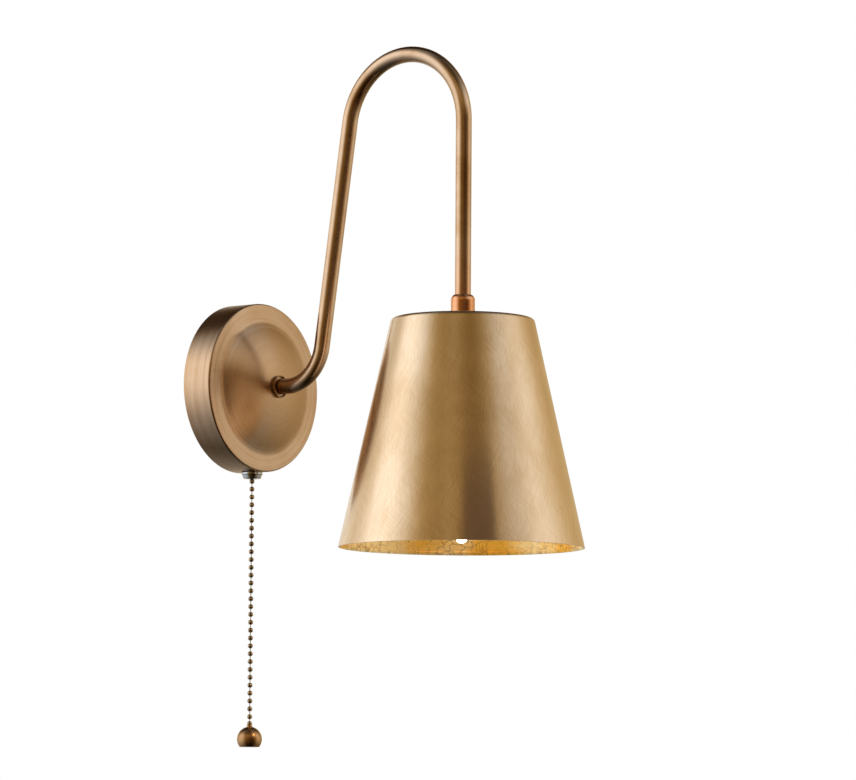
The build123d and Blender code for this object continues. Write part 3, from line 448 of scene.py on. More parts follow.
class PieceTree(Nodes):
    """A geometry tree with named inputs, the last of them its material."""

    SOCKETS = {float: "NodeSocketFloat", int: "NodeSocketInt", tuple: "NodeSocketVector"}

    def __init__(self, name, **inputs):
        super().__init__(bpy.data.node_groups.new(name, "GeometryNodeTree"))
        self.socket("Geometry", "NodeSocketGeometry", "INPUT")
        for title, default in inputs.items():
            self.socket(title, self.SOCKETS[type(default)], "INPUT").default_value = default
        self.socket("Material", "NodeSocketMaterial", "INPUT")
        self.socket("Geometry", "NodeSocketGeometry", "OUTPUT")
        self.given = self.node("NodeGroupInput").outputs

    def socket(self, title, kind, side):
        return self.tree.interface.new_socket(name=title, in_out=side, socket_type=kind)

    def tube(self, curve, radius, sides):
        """A capped round tube along a curve."""
        ring = self.node("GeometryNodeCurvePrimitiveCircle", {"Radius": radius, "Resolution": sides})
        inputs = {"Curve": curve, "Profile Curve": ring.outputs["Curve"], "Fill Caps": True}
        return self.node("GeometryNodeCurveToMesh", inputs).outputs["Mesh"]

    def end(self, geometry):
        """Ends the tree in Realize Instances, smooth shading and Set Material."""
        real = self.node("GeometryNodeRealizeInstances", {"Geometry": geometry})
        smooth = self.node("GeometryNodeSetShadeSmooth", {"Geometry": real.outputs["Geometry"]})
        inputs = {"Geometry": smooth.outputs["Geometry"], "Material": self.given["Material"]}
        paint = self.node("GeometryNodeSetMaterial", inputs)
        self.node("NodeGroupOutput", {"Geometry": paint.outputs["Geometry"]})
        return self.tree


def tube_tree():
    """A round tube along the edges of the mesh."""
    tree = PieceTree("Tube along a path", Radius=0.006, Sides=64)
    path = tree.node("GeometryNodeMeshToCurve", {"Mesh": tree.given["Geometry"]})
    return tree.end(tree.tube(path.outputs["Curve"], tree.given["Radius"], tree.given["Sides"]))


def row_tree():
    """Copies of the mesh in an upright row, each a pitch below the last."""
    tree = PieceTree("Row down a chain", Count=1, Start=(0.0, 0.0, 0.0), Pitch=0.006)
    given = tree.given
    step = tree.node("ShaderNodeCombineXYZ", {"Z": tree.calc("MULTIPLY", given["Pitch"], -1.0)})
    inputs = {"Count": given["Count"], "Start Location": given["Start"], "Offset": step.outputs["Vector"]}
    line = tree.node("GeometryNodeMeshLine", inputs)
    inputs = {"Points": line.outputs["Mesh"], "Instance": given["Geometry"]}
    return tree.end(tree.node("GeometryNodeInstanceOnPoints", inputs).outputs["Instances"])


def thread_tree():
    """A helical ridge of a given number of turns round an upright rod."""
    tree = PieceTree("Thread round a rod", Radius=0.005, Height=0.01, Turns=10.0, Ridge=0.0003, Steps=32)
    given = tree.given
    coil = tree.node(
        "GeometryNodeCurveSpiral",
        {
            "Start Radius": given["Radius"],
            "End Radius": given["Radius"],
            "Height": given["Height"],
            "Rotations": given["Turns"],
            "Resolution": given["Steps"],
        },
    )
    return tree.end(tree.tube(coil.outputs["Curve"], given["Ridge"], 6))


def grown(name, mesh, tree, **values):
    """The plain mesh piece that a geometry tree makes of a mesh."""
    holder = linked(name + "_holder", mesh)
    modifier = holder.modifiers.new("Grow", "NODES")
    modifier.node_group = tree
    for item in tree.interface.items_tree:
        if item.in_out == "INPUT" and item.name in values:
            modifier[item.identifier] = values[item.name]
    result = evaluated(holder, name)
    bpy.data.objects.remove(holder)
    return linked(name, result)


# ---------------------------------------------------------------- materials


class Finish(Nodes):
    """A material on a Principled shader."""

    def __init__(self, name, **constants):
        self.material = bpy.data.materials.new(name)
        self.material.use_nodes = True
        super().__init__(self.material.node_tree)
        self.tree.nodes.clear()
        self.out = self.node("ShaderNodeOutputMaterial")
        self.shader = self.node("ShaderNodeBsdfPrincipled")
        self.show(self.shader.outputs["BSDF"])
        for title, value in constants.items():
            self.feed(self.shader.inputs[title.replace("_", " ")], value)

    def show(self, surface):
        self.surface = surface
        self.feed(self.out.inputs["Surface"], surface)

    def overlay(self, share, kind):
        """Lets a share of another shader take the place of the surface so far."""
        self.show(self.layer(share, self.surface, self.node(kind).outputs[0]))

    def place(self, scale=(1, 1, 1), offset=(0, 0, 0), turned_by=0.0, around=False):
        """Object coordinates, or the piece's Round map, turned, moved and scaled."""
        if around:
            source = self.node("ShaderNodeUVMap", uv_map=ROUND_MAP).outputs["UV"]
        else:
            source = self.node("ShaderNodeTexCoord").outputs["Object"]
        inputs = {"Vector": source, "Scale": scale, "Location": offset, "Rotation": (0, 0, turned_by)}
        return self.node("ShaderNodeMapping", inputs).outputs["Vector"]

    def noise(self, vector, scale=1.0, detail=3.0, roughness=0.55, distortion=0.0):
        inputs = {"Vector": vector, "Scale": scale, "Detail": detail}
        inputs.update({"Roughness": roughness, "Distortion": distortion})
        return self.node("ShaderNodeTexNoise", inputs).outputs["Fac"]

    def span(self, value, low_in, high_in, low_out=0.0, high_out=1.0):
        """Goes smoothly from one value to another as the one given goes from low to high."""
        inputs = {"Value": value, "From Min": low_in, "From Max": high_in}
        inputs.update({"To Min": low_out, "To Max": high_out})
        return self.node("ShaderNodeMapRange", inputs, interpolation_type="SMOOTHSTEP").outputs["Result"]

    def length_of(self, vector):
        return self.node("ShaderNodeVectorMath", {0: vector}, operation="LENGTH").outputs["Value"]

    def colour(self, value):
        self.feed(self.shader.inputs["Base Color"], value)

    def roughness(self, value):
        self.feed(self.shader.inputs["Roughness"], value)

    def bump(self, height, strength, distance):
        made = self.node("ShaderNodeBump", {"Height": height, "Strength": strength, "Distance": distance})
        self.feed(self.shader.inputs["Normal"], made.outputs["Normal"])

    def grain(self):
        """Points the shader's stretched highlights along the turned grooves."""
        tangent = self.node("ShaderNodeTangent", direction_type="UV_MAP", uv_map=ROUND_MAP)
        self.feed(self.shader.inputs["Tangent"], tangent.outputs["Tangent"])

    def ring_place(self, centre, wallward, around_scale, across_scale):
        """Coordinates that change slowly round an axis and fast across it, for turned grooves."""
        x, y, z = self.split(self.place(offset=tuple(-c for c in centre)))
        if wallward:
            y, z = z, y
        flat = self.node("ShaderNodeCombineXYZ", {0: x, 1: y}).outputs[0]
        unit = self.node("ShaderNodeVectorMath", {0: flat}, operation="NORMALIZE").outputs[0]
        direction = self.split(unit)
        inputs = {
            0: self.calc("MULTIPLY", direction[0], around_scale),
            1: self.calc("MULTIPLY", direction[1], around_scale),
            2: self.calc("MULTIPLY", self.calc("SUBTRACT", self.length_of(flat), z), across_scale),
        }
        return self.node("ShaderNodeCombineXYZ", inputs).outputs[0]


def deepened(tone, share):
    return tuple(value * share for value in tone)


def turned_brass(name, anisotropy, rough, painted_shade_radius=None):
    """Antique brass brushed round the plate's axis, browner in its grooves, with painted shade that darkens
    it within a radius.
    """
    look = finishes()
    made = Finish(name, Metallic=1.0, Anisotropic=anisotropy, Anisotropic_Rotation=0.25)
    made.grain()
    bands = made.noise(made.ring_place(ORIGIN, True, 0.5, 900.0), detail=1.0)
    grooves = made.noise(made.ring_place(ORIGIN, True, 1.2, 3600.0), detail=2.0)
    cloud = made.noise(made.place(), scale=26.0, detail=4.0)
    share = made.weighed((cloud, 0.40), (grooves, 0.34), (bands, 0.26))
    tone = made.blend(made.span(share, 0.34, 0.60), look.brass_dark, look.brass)
    if painted_shade_radius:
        # Painted shade: within this radius of the axis, over the dome, the brass turns towards its dark
        # tone.
        from_axis = made.length_of(made.place(scale=(1, 0, 1)))
        inner = made.span(from_axis, painted_shade_radius - 0.004, painted_shade_radius + 0.001, 0.68, 0.0)
        tone = made.blend(inner, tone, look.brass_dark)
    made.colour(tone)
    worn = made.weighed((cloud, 0.6), (grooves, 0.4))
    made.roughness(made.span(worn, 0.3, 0.7, rough * 0.88, rough * 1.15))
    made.bump(grooves, 0.05, 0.0002)
    return made.material


def tube_brass():
    """Antique brass of the arm, redder towards its lower end at the coupler."""
    look = finishes()
    made = Finish("arm_brass", Metallic=1.0)
    cloud = made.noise(made.place(), scale=34.0, detail=4.0)
    fine = made.noise(made.place(scale=(1.0, 0.5, 0.08)), scale=1500.0, detail=2.0)
    share = made.weighed((cloud, 0.93), (fine, 0.07))
    worn = made.blend(made.span(share, 0.30, 0.60), look.brass_dark, look.brass)
    x, out, height = made.split(made.place())
    foot, reach = low("arm_tube").z, low("arm_tube").y
    lowered = made.span(height, foot + 0.004, foot + 0.120, 1.0, 0.0)
    outer = made.span(out, reach + 0.013, reach + 0.02, 1.0, 0.0)
    red = made.calc("MULTIPLY", lowered, outer)
    red = made.calc("MULTIPLY", red, made.span(cloud, 0.3, 0.7, 0.55, 0.75))
    made.colour(made.blend(red, worn, look.copper))
    made.roughness(made.span(cloud, 0.3, 0.7, 0.20, 0.27))
    made.bump(fine, 0.004, 0.0002)
    return made.material


def coupler_copper():
    """Reddened brass of the coupler, turned to a shine."""
    look = finishes()
    made = Finish("coupler_copper", Metallic=1.0)
    grooves = made.noise(made.ring_place(middle("shade_coupler"), False, 0.6, 900.0), detail=2.0)
    cloud = made.noise(made.place(), scale=120.0, detail=4.0)
    tone = made.blend(made.span(cloud, 0.35, 0.65, 0.25, 0.45), look.copper, look.brass)
    made.colour(made.blend(made.span(grooves, 0.3, 0.5, 0.12, 0.0), tone, look.brass_dark))
    made.roughness(made.span(grooves, 0.3, 0.7, 0.15, 0.19))
    made.bump(grooves, 0.001, 0.0002)
    return made.material


def shade_outside():
    """Satin brass with soft stains and fine scratches that run every way but mostly down."""
    look = finishes()
    made = Finish("shade_satin_brass", Metallic=1.0, Anisotropic=0.45, Anisotropic_Rotation=0.25)
    made.grain()
    cloud = made.noise(made.place(), scale=13.0, detail=4.0, roughness=0.6, distortion=0.4)
    mottle = made.noise(made.place(scale=(1, 1, 0.35)), scale=60.0, detail=4.0)
    tone = made.blend(made.span(cloud, 0.40, 0.70, 0.0, 0.55), look.shade_brass, look.shade_stain)
    tone = made.blend(made.span(mottle, 0.45, 0.75, 0.0, 0.35), tone, look.shade_stain)
    pale = dull = 0.0
    # One set of scratches for each lean from upright in degrees, with how fine they are.
    for index, (lean, fine) in enumerate(((14, 3000.0), (-34, 2600.0), (54, 2800.0), (-7, 3300.0))):
        place = made.place(around=True, turned_by=radians(lean), offset=(0.013 * index, 0.02, 0))
        drawn_out = made.node("ShaderNodeMapping", {"Vector": place, "Scale": (fine, fine * 0.009, 1.0)})
        line = made.noise(drawn_out.outputs["Vector"], detail=1.0)
        pale = made.calc("MAXIMUM", pale, made.span(line, 0.56, 0.70))
        dull = made.calc("MAXIMUM", dull, made.span(line, 0.30, 0.44, 1.0, 0.0))
    tone = made.blend(made.calc("MULTIPLY", pale, 0.34), tone, look.shade_scratch)
    tone = made.blend(made.calc("MULTIPLY", dull, 0.34), tone, look.shade_dull)
    made.colour(tone)
    satin = made.span(cloud, 0.3, 0.75, 0.22, 0.30)
    made.roughness(made.calc("SUBTRACT", satin, made.calc("MULTIPLY", pale, 0.04)))
    made.bump(made.calc("SUBTRACT", pale, dull), 0.0005, 0.0001)
    return made.material


def shade_leaf():
    """Gold leaf with crackled joins, and paler patches that are partly its own paler sheets and partly
    painted highlight.
    """
    look = finishes()
    made = Finish("shade_gold_leaf", Metallic=0.62)
    warp = made.node("ShaderNodeTexNoise", {"Vector": made.place(), "Scale": 55.0, "Detail": 5.0})
    inputs = {0: warp.outputs["Color"], 1: (0.03, 0.03, 0.03), 2: made.place()}
    moved = made.node("ShaderNodeVectorMath", inputs, operation="MULTIPLY_ADD").outputs[0]
    cells = made.node("ShaderNodeTexVoronoi", feature="DISTANCE_TO_EDGE")
    made.feed(cells.inputs["Vector"], moved)
    made.feed(cells.inputs["Scale"], 125.0)
    patchy = made.noise(made.place(), scale=24.0, detail=4.0)
    crack = made.span(cells.outputs["Distance"], 0.02, 0.09, 0.6, 0.0)
    crack = made.calc("MULTIPLY", crack, made.span(patchy, 0.36, 0.52))
    worn = made.span(made.noise(made.place(), scale=90.0, detail=6.0, roughness=0.7), 0.56, 0.68, 0.0, 0.7)
    worn = made.calc("MULTIPLY", worn, made.span(patchy, 0.42, 0.56))
    bare = made.calc("MAXIMUM", crack, worn)
    # The paler patches are partly the leaf's own sheets and partly painted highlight for the bright inner
    # sides.
    sheet = made.noise(made.place(offset=(0.322, 0.085, 0.2)), scale=17.0, detail=3.0)
    gold = made.blend(made.span(sheet, 0.44, 0.60), look.leaf_pale_and_sheen, look.leaf)
    made.colour(made.blend(bare, gold, look.leaf_vein))
    made.roughness(made.span(patchy, 0.3, 0.7, 0.26, 0.42))
    made.bump(made.calc("SUBTRACT", sheet, bare), 0.25, 0.0003)
    return made.material


def ball_bronze():
    """Burnished bronze of the pull ball, smoother and browner than the plate."""
    look = finishes()
    made = Finish("ball_burnished_bronze", Metallic=1.0)
    cloud = made.noise(made.place(), scale=120.0, detail=3.0)
    rub = made.noise(made.place(scale=(1, 1, 5)), scale=420.0, detail=2.0)
    share = made.weighed((cloud, 0.88), (rub, 0.12))
    made.colour(made.blend(made.span(share, 0.35, 0.65), look.bronze_dark, look.bronze))
    made.roughness(made.span(share, 0.3, 0.7, 0.26, 0.30))
    return made.material


def smooth_metal(name, base, dark, rough, scale=160.0):
    """A plain metal with cloudy tarnish."""
    made = Finish(name, Metallic=1.0)
    cloud = made.noise(made.place(), scale=scale, detail=4.0)
    made.colour(made.blend(made.span(cloud, 0.325, 0.675), dark, base))
    made.roughness(made.span(cloud, 0.3, 0.7, rough * 0.8, rough * 1.2))
    made.bump(cloud, 0.03, 0.0002)
    return made.material


def plastic(name, base, rough):
    """Moulded plastic with a fine spark-eroded skin."""
    made = Finish(name)
    skin = made.noise(made.place(), scale=2400.0, detail=2.0)
    cloud = made.noise(made.place(), scale=60.0, detail=3.0)
    made.colour(made.blend(made.span(cloud, 0.35, 0.65), deepened(base, 0.82), base))
    made.roughness(made.span(skin, 0.3, 0.7, rough * 0.85, rough * 1.15))
    made.bump(skin, 0.12, 0.0001)
    return made.material


def opal_glass():
    """Lit opal glass of the bulb."""
    look = finishes()
    made = Finish(
        "opal_glass", Coat_Weight=0.6, Coat_Roughness=0.05, Subsurface_Weight=0.15,
        Emission_Color=look.bulb_light, Emission_Strength=look.bulb_glow,
    )
    cloud = made.noise(made.place(), scale=30.0, detail=2.0)
    made.colour(made.blend(cloud, deepened(look.bulb, 0.97), look.bulb))
    made.roughness(made.span(cloud, 0.3, 0.7, 0.16, 0.22))
    return made.material


def striped_sheath():
    """Green core with a yellow stripe that winds round it."""
    look = finishes()
    made = Finish("earth_core")
    wave = made.node("ShaderNodeTexWave", wave_type="BANDS", bands_direction="DIAGONAL")
    made.feed(wave.inputs["Vector"], made.place())
    made.feed(wave.inputs["Scale"], 190.0)
    stripe = made.span(wave.outputs["Fac"], 0.45, 0.55)
    made.colour(made.blend(stripe, look.core_green, look.core_yellow))
    made.roughness(made.span(made.noise(made.place(), scale=500.0), 0.3, 0.7, 0.35, 0.45))
    return made.material


# ---------------------------------------------------------------- pieces


class SCONCE_OT_backplate(bpy.types.Operator):
    """Turn the round back plate and its collar, and dress the cover screw and lug."""

    bl_idname = "sconce.backplate"
    bl_label = "Back plate"
    bl_options = {"REGISTER", "UNDO"}

    def skin(self, radius, bore, tip, inset, rounding):
        """One skin of the plate: its flat ring runs up through a hollow sweep into a shallow dome."""
        size = sizes()
        ball, sweep = size.dome_radius, size.dome_sweep
        centre = tip - sqrt(ball ** 2 - size.dome_top_radius ** 2)
        reach = size.plate_depth + sweep
        foot = sqrt((ball + sweep) ** 2 - (reach - centre) ** 2)
        tilt = degrees(atan2(foot, reach - centre))
        top = tip - inset
        flat = sqrt((ball - inset) ** 2 - (top - centre) ** 2)
        front = size.plate_depth - inset
        line = rounded([(radius - inset, 0.0), (radius - inset, front), (foot, front)], [rounding])[:-1]
        line += arc((foot, reach), sweep + inset, 270, 270 - tilt, 14)
        line += arc((0, centre), ball - inset, 90 - tilt, degrees(atan2(top - centre, flat)), 24)[1:]
        return line + [(bore, top)]

    def execute(self, context):
        size, look = sizes(), finishes()
        radius = -low("backplate_cover").x
        tip = -low("backplate_cover").y
        bore = high("arm_nipple").x
        outside = self.skin(radius, bore, tip, 0.0, size.plate_rim_round)
        inside = self.skin(radius, bore, tip, size.plate_wall, size.plate_rim_round - size.plate_wall)
        # The face's brass takes painted shade within 47 mm of the axis, over the dome.
        face_brass = turned_brass("plate_face_brass", 0.7, 0.30, 0.047)
        wall_brass = turned_brass("plate_wall_brass", 0.5, 0.25)
        plate = turned("plate_cover", outside + inside[::-1], ORIGIN, wallward=True)
        hole = high("switch_neck").x * 0.86  # the threaded neck bites into the sheet
        over, under = size.drill_reach - radius, -size.drill_reach - radius
        drill = [(0.0, under), (hole, under), (hole, over), (0.0, over)]
        drilled(plate, turned("drill", drill, upright("switch_neck"), closed=False, steps=48))
        finish(plate, "fixture", "aged_brass", face_brass, "backplate_cover")
        plate.data.materials.append(wall_brass)
        for face in plate.data.polygons:
            if abs(face.normal.y) < 0.7:  # the plate's side and the steep part of its sweep
                face.material_index = 1

        foot = -high("arm_collar").y
        rise = high("arm_collar").y - low("arm_collar").y
        outer = high("arm_collar").x
        tube = high("arm_tube").x
        lip = rise * 0.18
        collar = rounded(
            [
                (tube, foot),
                (outer, foot),
                (outer, foot + rise),
                (outer - lip * 1.6, foot + rise),
                (outer - lip * 2.4, foot + rise * 0.2),
                (tube, foot + rise * 0.15),
            ],
            [0, lip * 0.7, lip * 0.6, lip * 0.5],
        )
        ring = turned("arm_collar_ring", collar, ORIGIN, wallward=True)
        # Painted shade: the collar takes a darkened copy of the brass, standing in for the shade in and
        # round its recess.
        shaded_collar_brass = smooth_metal("collar_brown_brass", look.brass_dark, deepened(look.brass_dark, 0.5), 0.25)
        finish(ring, "fixture", "aged_brass", shaded_collar_brass, "arm_collar")
        dress(wall_brass, "cover_lug", "cover_screw")
        return {"FINISHED"}


class SCONCE_OT_arm(bpy.types.Operator):
    """Lay the swan-neck tube along its centre line."""

    bl_idname = "sconce.arm"
    bl_label = "Swan-neck arm"
    bl_options = {"REGISTER", "UNDO"}

    def execute(self, context):
        size = sizes()
        lean, bend, arch_radius = size.lean_angle, size.lower_bend, size.upper_bend
        start = -high("arm_tube").y
        bend_start = -low("backplate_cover").y + size.foot_straight
        head_out = bend_start + bend * cos(lean) + size.lean_straight * sin(lean)
        head_up = bend * (1 - sin(lean)) + size.lean_straight * cos(lean)
        arch = (head_out + arch_radius * cos(lean), head_up - arch_radius * sin(lean))
        route = [(start, 0.0)]
        route += arc((bend_start, bend), bend, -90, -degrees(lean), 40)
        route += arc(arch, arch_radius, 180 - degrees(lean), 0, 84)
        route.append((arch[0] + arch_radius, low("arm_tube").z))
        mesh = bpy.data.meshes.new("arm_route")
        runs = [(i, i + 1) for i in range(len(route) - 1)]
        mesh.from_pydata([(0, -depth, height) for depth, height in route], runs, [])
        brass = tube_brass()
        values = {"Radius": high("arm_tube").x, "Sides": size.tube_sides, "Material": brass}
        tube = grown("arm_swan_neck", mesh, tube_tree(), **values)
        finish(tube, "fixture", "aged_brass", brass, "arm_tube")
        return {"FINISHED"}


class SCONCE_OT_coupler(bpy.types.Operator):
    """Turn the coupler between the arm and the shade."""

    bl_idname = "sconce.coupler"
    bl_label = "Coupler"
    bl_options = {"REGISTER", "UNDO"}

    def execute(self, context):
        size = sizes()
        foot, top = low("shade_coupler").z, high("shade_coupler").z
        outer = high("shade_coupler").x
        tube = high("arm_tube").x
        groove = outer - size.groove_depth
        chamfer = size.groove_depth * 0.6
        outline = [(tube * 0.85, foot), (outer - chamfer, foot), (outer, foot + chamfer)]
        for share in (size.lower_groove, size.upper_groove):
            level = foot + (top - foot) * share
            edge = size.groove_width / 2
            outline += [
                (outer, level - edge - chamfer / 2),
                (groove, level - edge),
                (groove, level + edge),
                (outer, level + edge + chamfer / 2),
            ]
        shoulder = (size.coupler_shoulder_radius, top - size.coupler_taper * 0.54)
        edges = [(outer, top - size.coupler_taper), shoulder, (size.coupler_neck_radius, top), (tube, top)]
        outline += rounded(edges, [0.0008, 0.0006])
        piece = turned("coupler", outline, upright("shade_coupler"))
        finish(piece, "fixture", "aged_brass", coupler_copper(), "shade_coupler")
        return {"FINISHED"}


class SCONCE_OT_shade(bpy.types.Operator):
    """Turn the cone shade, with its hem, and lay the gold leaf inside."""

    bl_idname = "sconce.shade"
    bl_label = "Shade"
    bl_options = {"REGISTER", "UNDO"}

    def execute(self, context):
        size = sizes()
        wall, hem_height, hem_thickness = size.shade_wall, size.hem_height, size.hem_thickness
        top = high("shade").z
        rim = low("shade").z + wall * 0.22
        wide = -low("shade").x
        edges = [(high("shade_stem").x, top), (size.shade_top_radius, top), (wide, rim)]
        outside = rounded(edges, [size.shade_edge_round], steps=10)
        inside = walled(outside, wall)[len(outside):]
        slope = (wide - size.shade_top_radius) / (top - rim)
        hem_in = wide - wall - hem_thickness
        hem = [
            (wide - wall * 0.8, rim - wall * 0.15),
            (hem_in + hem_thickness * 0.3, rim),
            (hem_in, rim + hem_thickness * 0.5),
            (hem_in - slope * hem_height, rim + hem_height),
            (hem_in + hem_thickness - slope * hem_height, rim + hem_height * 1.1),
        ]
        axis = upright("shade")
        piece = turned("cone_shade", outside + hem + inside[1:], axis)
        finish(piece, "fixture", "leaf_brass", shade_outside(), "shade")
        piece.data.materials.append(shade_leaf())
        for face in piece.data.polygons:
            out = face.center - axis
            inward = face.normal.x * out.x + face.normal.y * out.y < -1e-7
            under = face.normal.z < -0.9 and face.center.z > rim + hem_height * 2
            if inward or under:
                face.material_index = 1
        return {"FINISHED"}


class SCONCE_OT_bulb(bpy.types.Operator):
    """Turn the candle bulb, and dress its cap, the lampholder and what else is brass or moulded."""

    bl_idname = "sconce.bulb"
    bl_label = "Bulb and lampholder"
    bl_options = {"REGISTER", "UNDO"}

    def execute(self, context):
        size, look = sizes(), finishes()
        tip, top = low("bulb_glass").z, high("bulb_glass").z
        wide = high("bulb_glass").x
        tip_radius = size.bulb_tip_radius
        belly = tip + size.bulb_belly
        depth = belly - tip - tip_radius
        flank = (wide ** 2 + depth ** 2 - tip_radius ** 2) / (2 * (wide - tip_radius))
        leave = degrees(atan2(depth, flank - wide))
        drop, narrow = top - belly, wide - high("bulb_cap").x
        shoulder = (drop ** 2 + narrow ** 2) / (2 * narrow)
        end = degrees(atan2(drop, shoulder - narrow))
        outline = [(0.0, tip)] + arc((0, tip + tip_radius), tip_radius, -90, -leave, 10)[1:-1]
        outline += arc((wide - flank, belly), flank, -leave, 0, 22)
        outline += arc((wide - shoulder, belly), shoulder, 0, end, 14)[1:]
        outline.append((0.0, top))
        glass = turned("candle_bulb", outline, upright("bulb_glass"), closed=False)
        finish(glass, "fixture", "opal_glass", opal_glass(), "bulb_glass")
        dress(smooth_metal("cap_nickel", look.nickel, look.nickel_dark, 0.25), "bulb_cap")
        brass = smooth_metal("contact_brass", look.plain_brass, look.brass_dark, 0.3)
        dress(brass, "bulb_contact", "centre_contact", "screw_shell", "terminal_sleeves", "switch_terminals")
        black = plastic("holder_black", look.black, 0.38)
        dress(black, "lampholder_cap", "lampholder_body", "bulb_insulator", "switch_housing", "switch_lid")
        white = plastic("moulded_white", look.white, 0.42)
        dress(white, "lampholder_insert", "led_engine", "terminal_block")
        return {"FINISHED"}


class SCONCE_OT_chain(bpy.types.Operator):
    """Thread the bead chain, its links and the ball on their bodies."""

    bl_idname = "sconce.chain"
    bl_label = "Pull chain"
    bl_options = {"REGISTER", "UNDO"}

    def bead_outline(self, radius):
        """A hollow bead with a hole at each end."""
        size = sizes()
        hole, hollow = size.bead_hole, radius - size.bead_wall
        opening = degrees(atan2(sqrt(radius ** 2 - hole ** 2), hole))
        inner = degrees(atan2(sqrt(hollow ** 2 - hole ** 2), hole))
        return arc((0, 0), radius, -opening, opening, 14) + arc((0, 0), hollow, inner, -inner, 8)

    def link_outline(self, pitch, foot=0.0):
        """A link from one bead's middle to the next, a pitch above, with a head in each."""
        shank = sizes().shank_radius
        head = shank * 2.0
        shares = ((0.0, 0.05), (head, 0.10), (shank, 0.24), (shank, 0.76), (head, 0.90), (0.0, 0.95))
        return [(radius, foot + pitch * share) for radius, share in shares]

    def ball(self, axis):
        """The pull ball, with a low neck and a cup at its top and a flat foot."""
        size = sizes()
        foot, top = low("pull_ball").z, high("pull_ball").z
        radius, neck = size.ball_radius, size.ball_collar_radius
        drop, edge = size.ball_flat_drop, size.ball_edge
        meet = degrees(atan2(sqrt(radius ** 2 - neck ** 2), neck))
        flat = -degrees(atan2(drop, sqrt(radius ** 2 - drop ** 2)))
        sphere = arc((0, foot + drop), radius, meet, flat, 40)
        cup, floor = neck * 0.84, top - size.cup_depth
        outline = [(0.0, floor), (cup * 0.5, floor + edge), (cup, top - edge), (neck * 0.95, top)]
        outline += [(neck, top - edge * 2)] + sphere + [(sphere[-1][0] - edge * 3, foot), (0.0, foot)]
        piece = turned("pull_ball_turned", outline, axis, closed=False)
        finish(piece, "chain", "aged_brass", ball_bronze(), "pull_ball")

    def execute(self, context):
        size, look = sizes(), finishes()
        pitch, steps = size.bead_pitch, size.bead_steps
        bead_radius = high("bead_strand").x
        outline = self.bead_outline(bead_radius)
        bead = turned("bead", outline, ORIGIN, steps=steps)
        link = turned("link", self.link_outline(pitch), ORIGIN, closed=False, steps=size.link_steps)
        metal = smooth_metal("bead_bronze", look.bead, deepened(look.bead, 0.55), 0.29, scale=420.0)
        row = row_tree()
        axis = upright("bead_strand")

        def run(name, body, first, beads, links, node):
            """Beads from a height downwards, with a link above each of the last ones."""
            start = axis + Vector((0, 0, first))
            rows = (
                ("_beads", bead.data, beads, start, (node,)),
                ("_links", link.data, links, start - Vector((0, 0, pitch * (beads - links))), ()),
            )
            for ending, mesh, number_of, place, replaced in rows:
                values = {"Count": number_of, "Start": place, "Pitch": pitch, "Material": metal}
                finish(grown(name + ending, mesh, row, **values), body, "bead_brass", metal, *replaced)

        swivel = low("spindle_beads").z + bead_radius
        run("pull_chain", "pull", swivel + pitch, 2, 1, "spindle_beads")
        for i in range(1, 4):
            run(f"swing_chain_{i}", f"swing_{i}", swivel - pitch * i, 1, 1, f"swing_bead_{i}")
        strand_top = swivel - pitch * 4
        end_bead = high("pull_ball").z + size.end_bead_rise
        beads = round((strand_top - end_bead - size.end_bead_drop) / pitch) + 1
        run("strand_chain", "chain", strand_top, beads, beads, "bead_strand")
        for spare in (bead, link):
            bpy.data.objects.remove(spare)
        last = turned("end_bead", outline, axis + Vector((0, 0, end_bead)), steps=steps)
        finish(last, "chain", "bead_brass", metal)
        drop = strand_top - pitch * (beads - 1) - end_bead
        lower = self.link_outline(drop, end_bead)
        last_link = turned("end_link", lower, axis, closed=False, steps=size.link_steps)
        finish(last_link, "chain", "bead_brass", metal)
        dress(smooth_metal("spindle_zinc", look.steel, deepened(look.steel, 0.6), 0.3), "pull_spindle")
        self.ball(axis)
        return {"FINISHED"}


class SCONCE_OT_ferrule(bpy.types.Operator):
    """Turn the chrome ferrule that the chain leaves by."""

    bl_idname = "sconce.ferrule"
    bl_label = "Ferrule"
    bl_options = {"REGISTER", "UNDO"}

    def execute(self, context):
        look = finishes()
        foot, top = low("switch_ferrule").z, high("switch_ferrule").z
        wide = high("switch_ferrule").x
        # The ferrule's rim and mouth: shares of its radius, and of its height over its foot.
        rim = ((1.0, 1.0), (1.0, 0.70), (0.94, 0.58), (0.84, 0.10), (0.80, 0.0), (0.49, 0.0))
        outline = [(high("switch_neck").x * 0.82, top)]
        outline += [(wide * across, foot + (top - foot) * up) for across, up in rim]
        outline.append((high("pull_spindle").x * 0.45, foot + (top - foot) * 0.35))
        outline = rounded(outline, [0.0003, 0.0005, 0.0004, 0.0005, 0.0003, 0.0006])
        piece = turned("chrome_ferrule", outline, upright("switch_ferrule"))
        chrome = smooth_metal("polished_chrome", look.chrome, deepened(look.chrome, 0.8), 0.17)
        finish(piece, "fixture", "bright_chrome", chrome, "switch_ferrule")
        return {"FINISHED"}


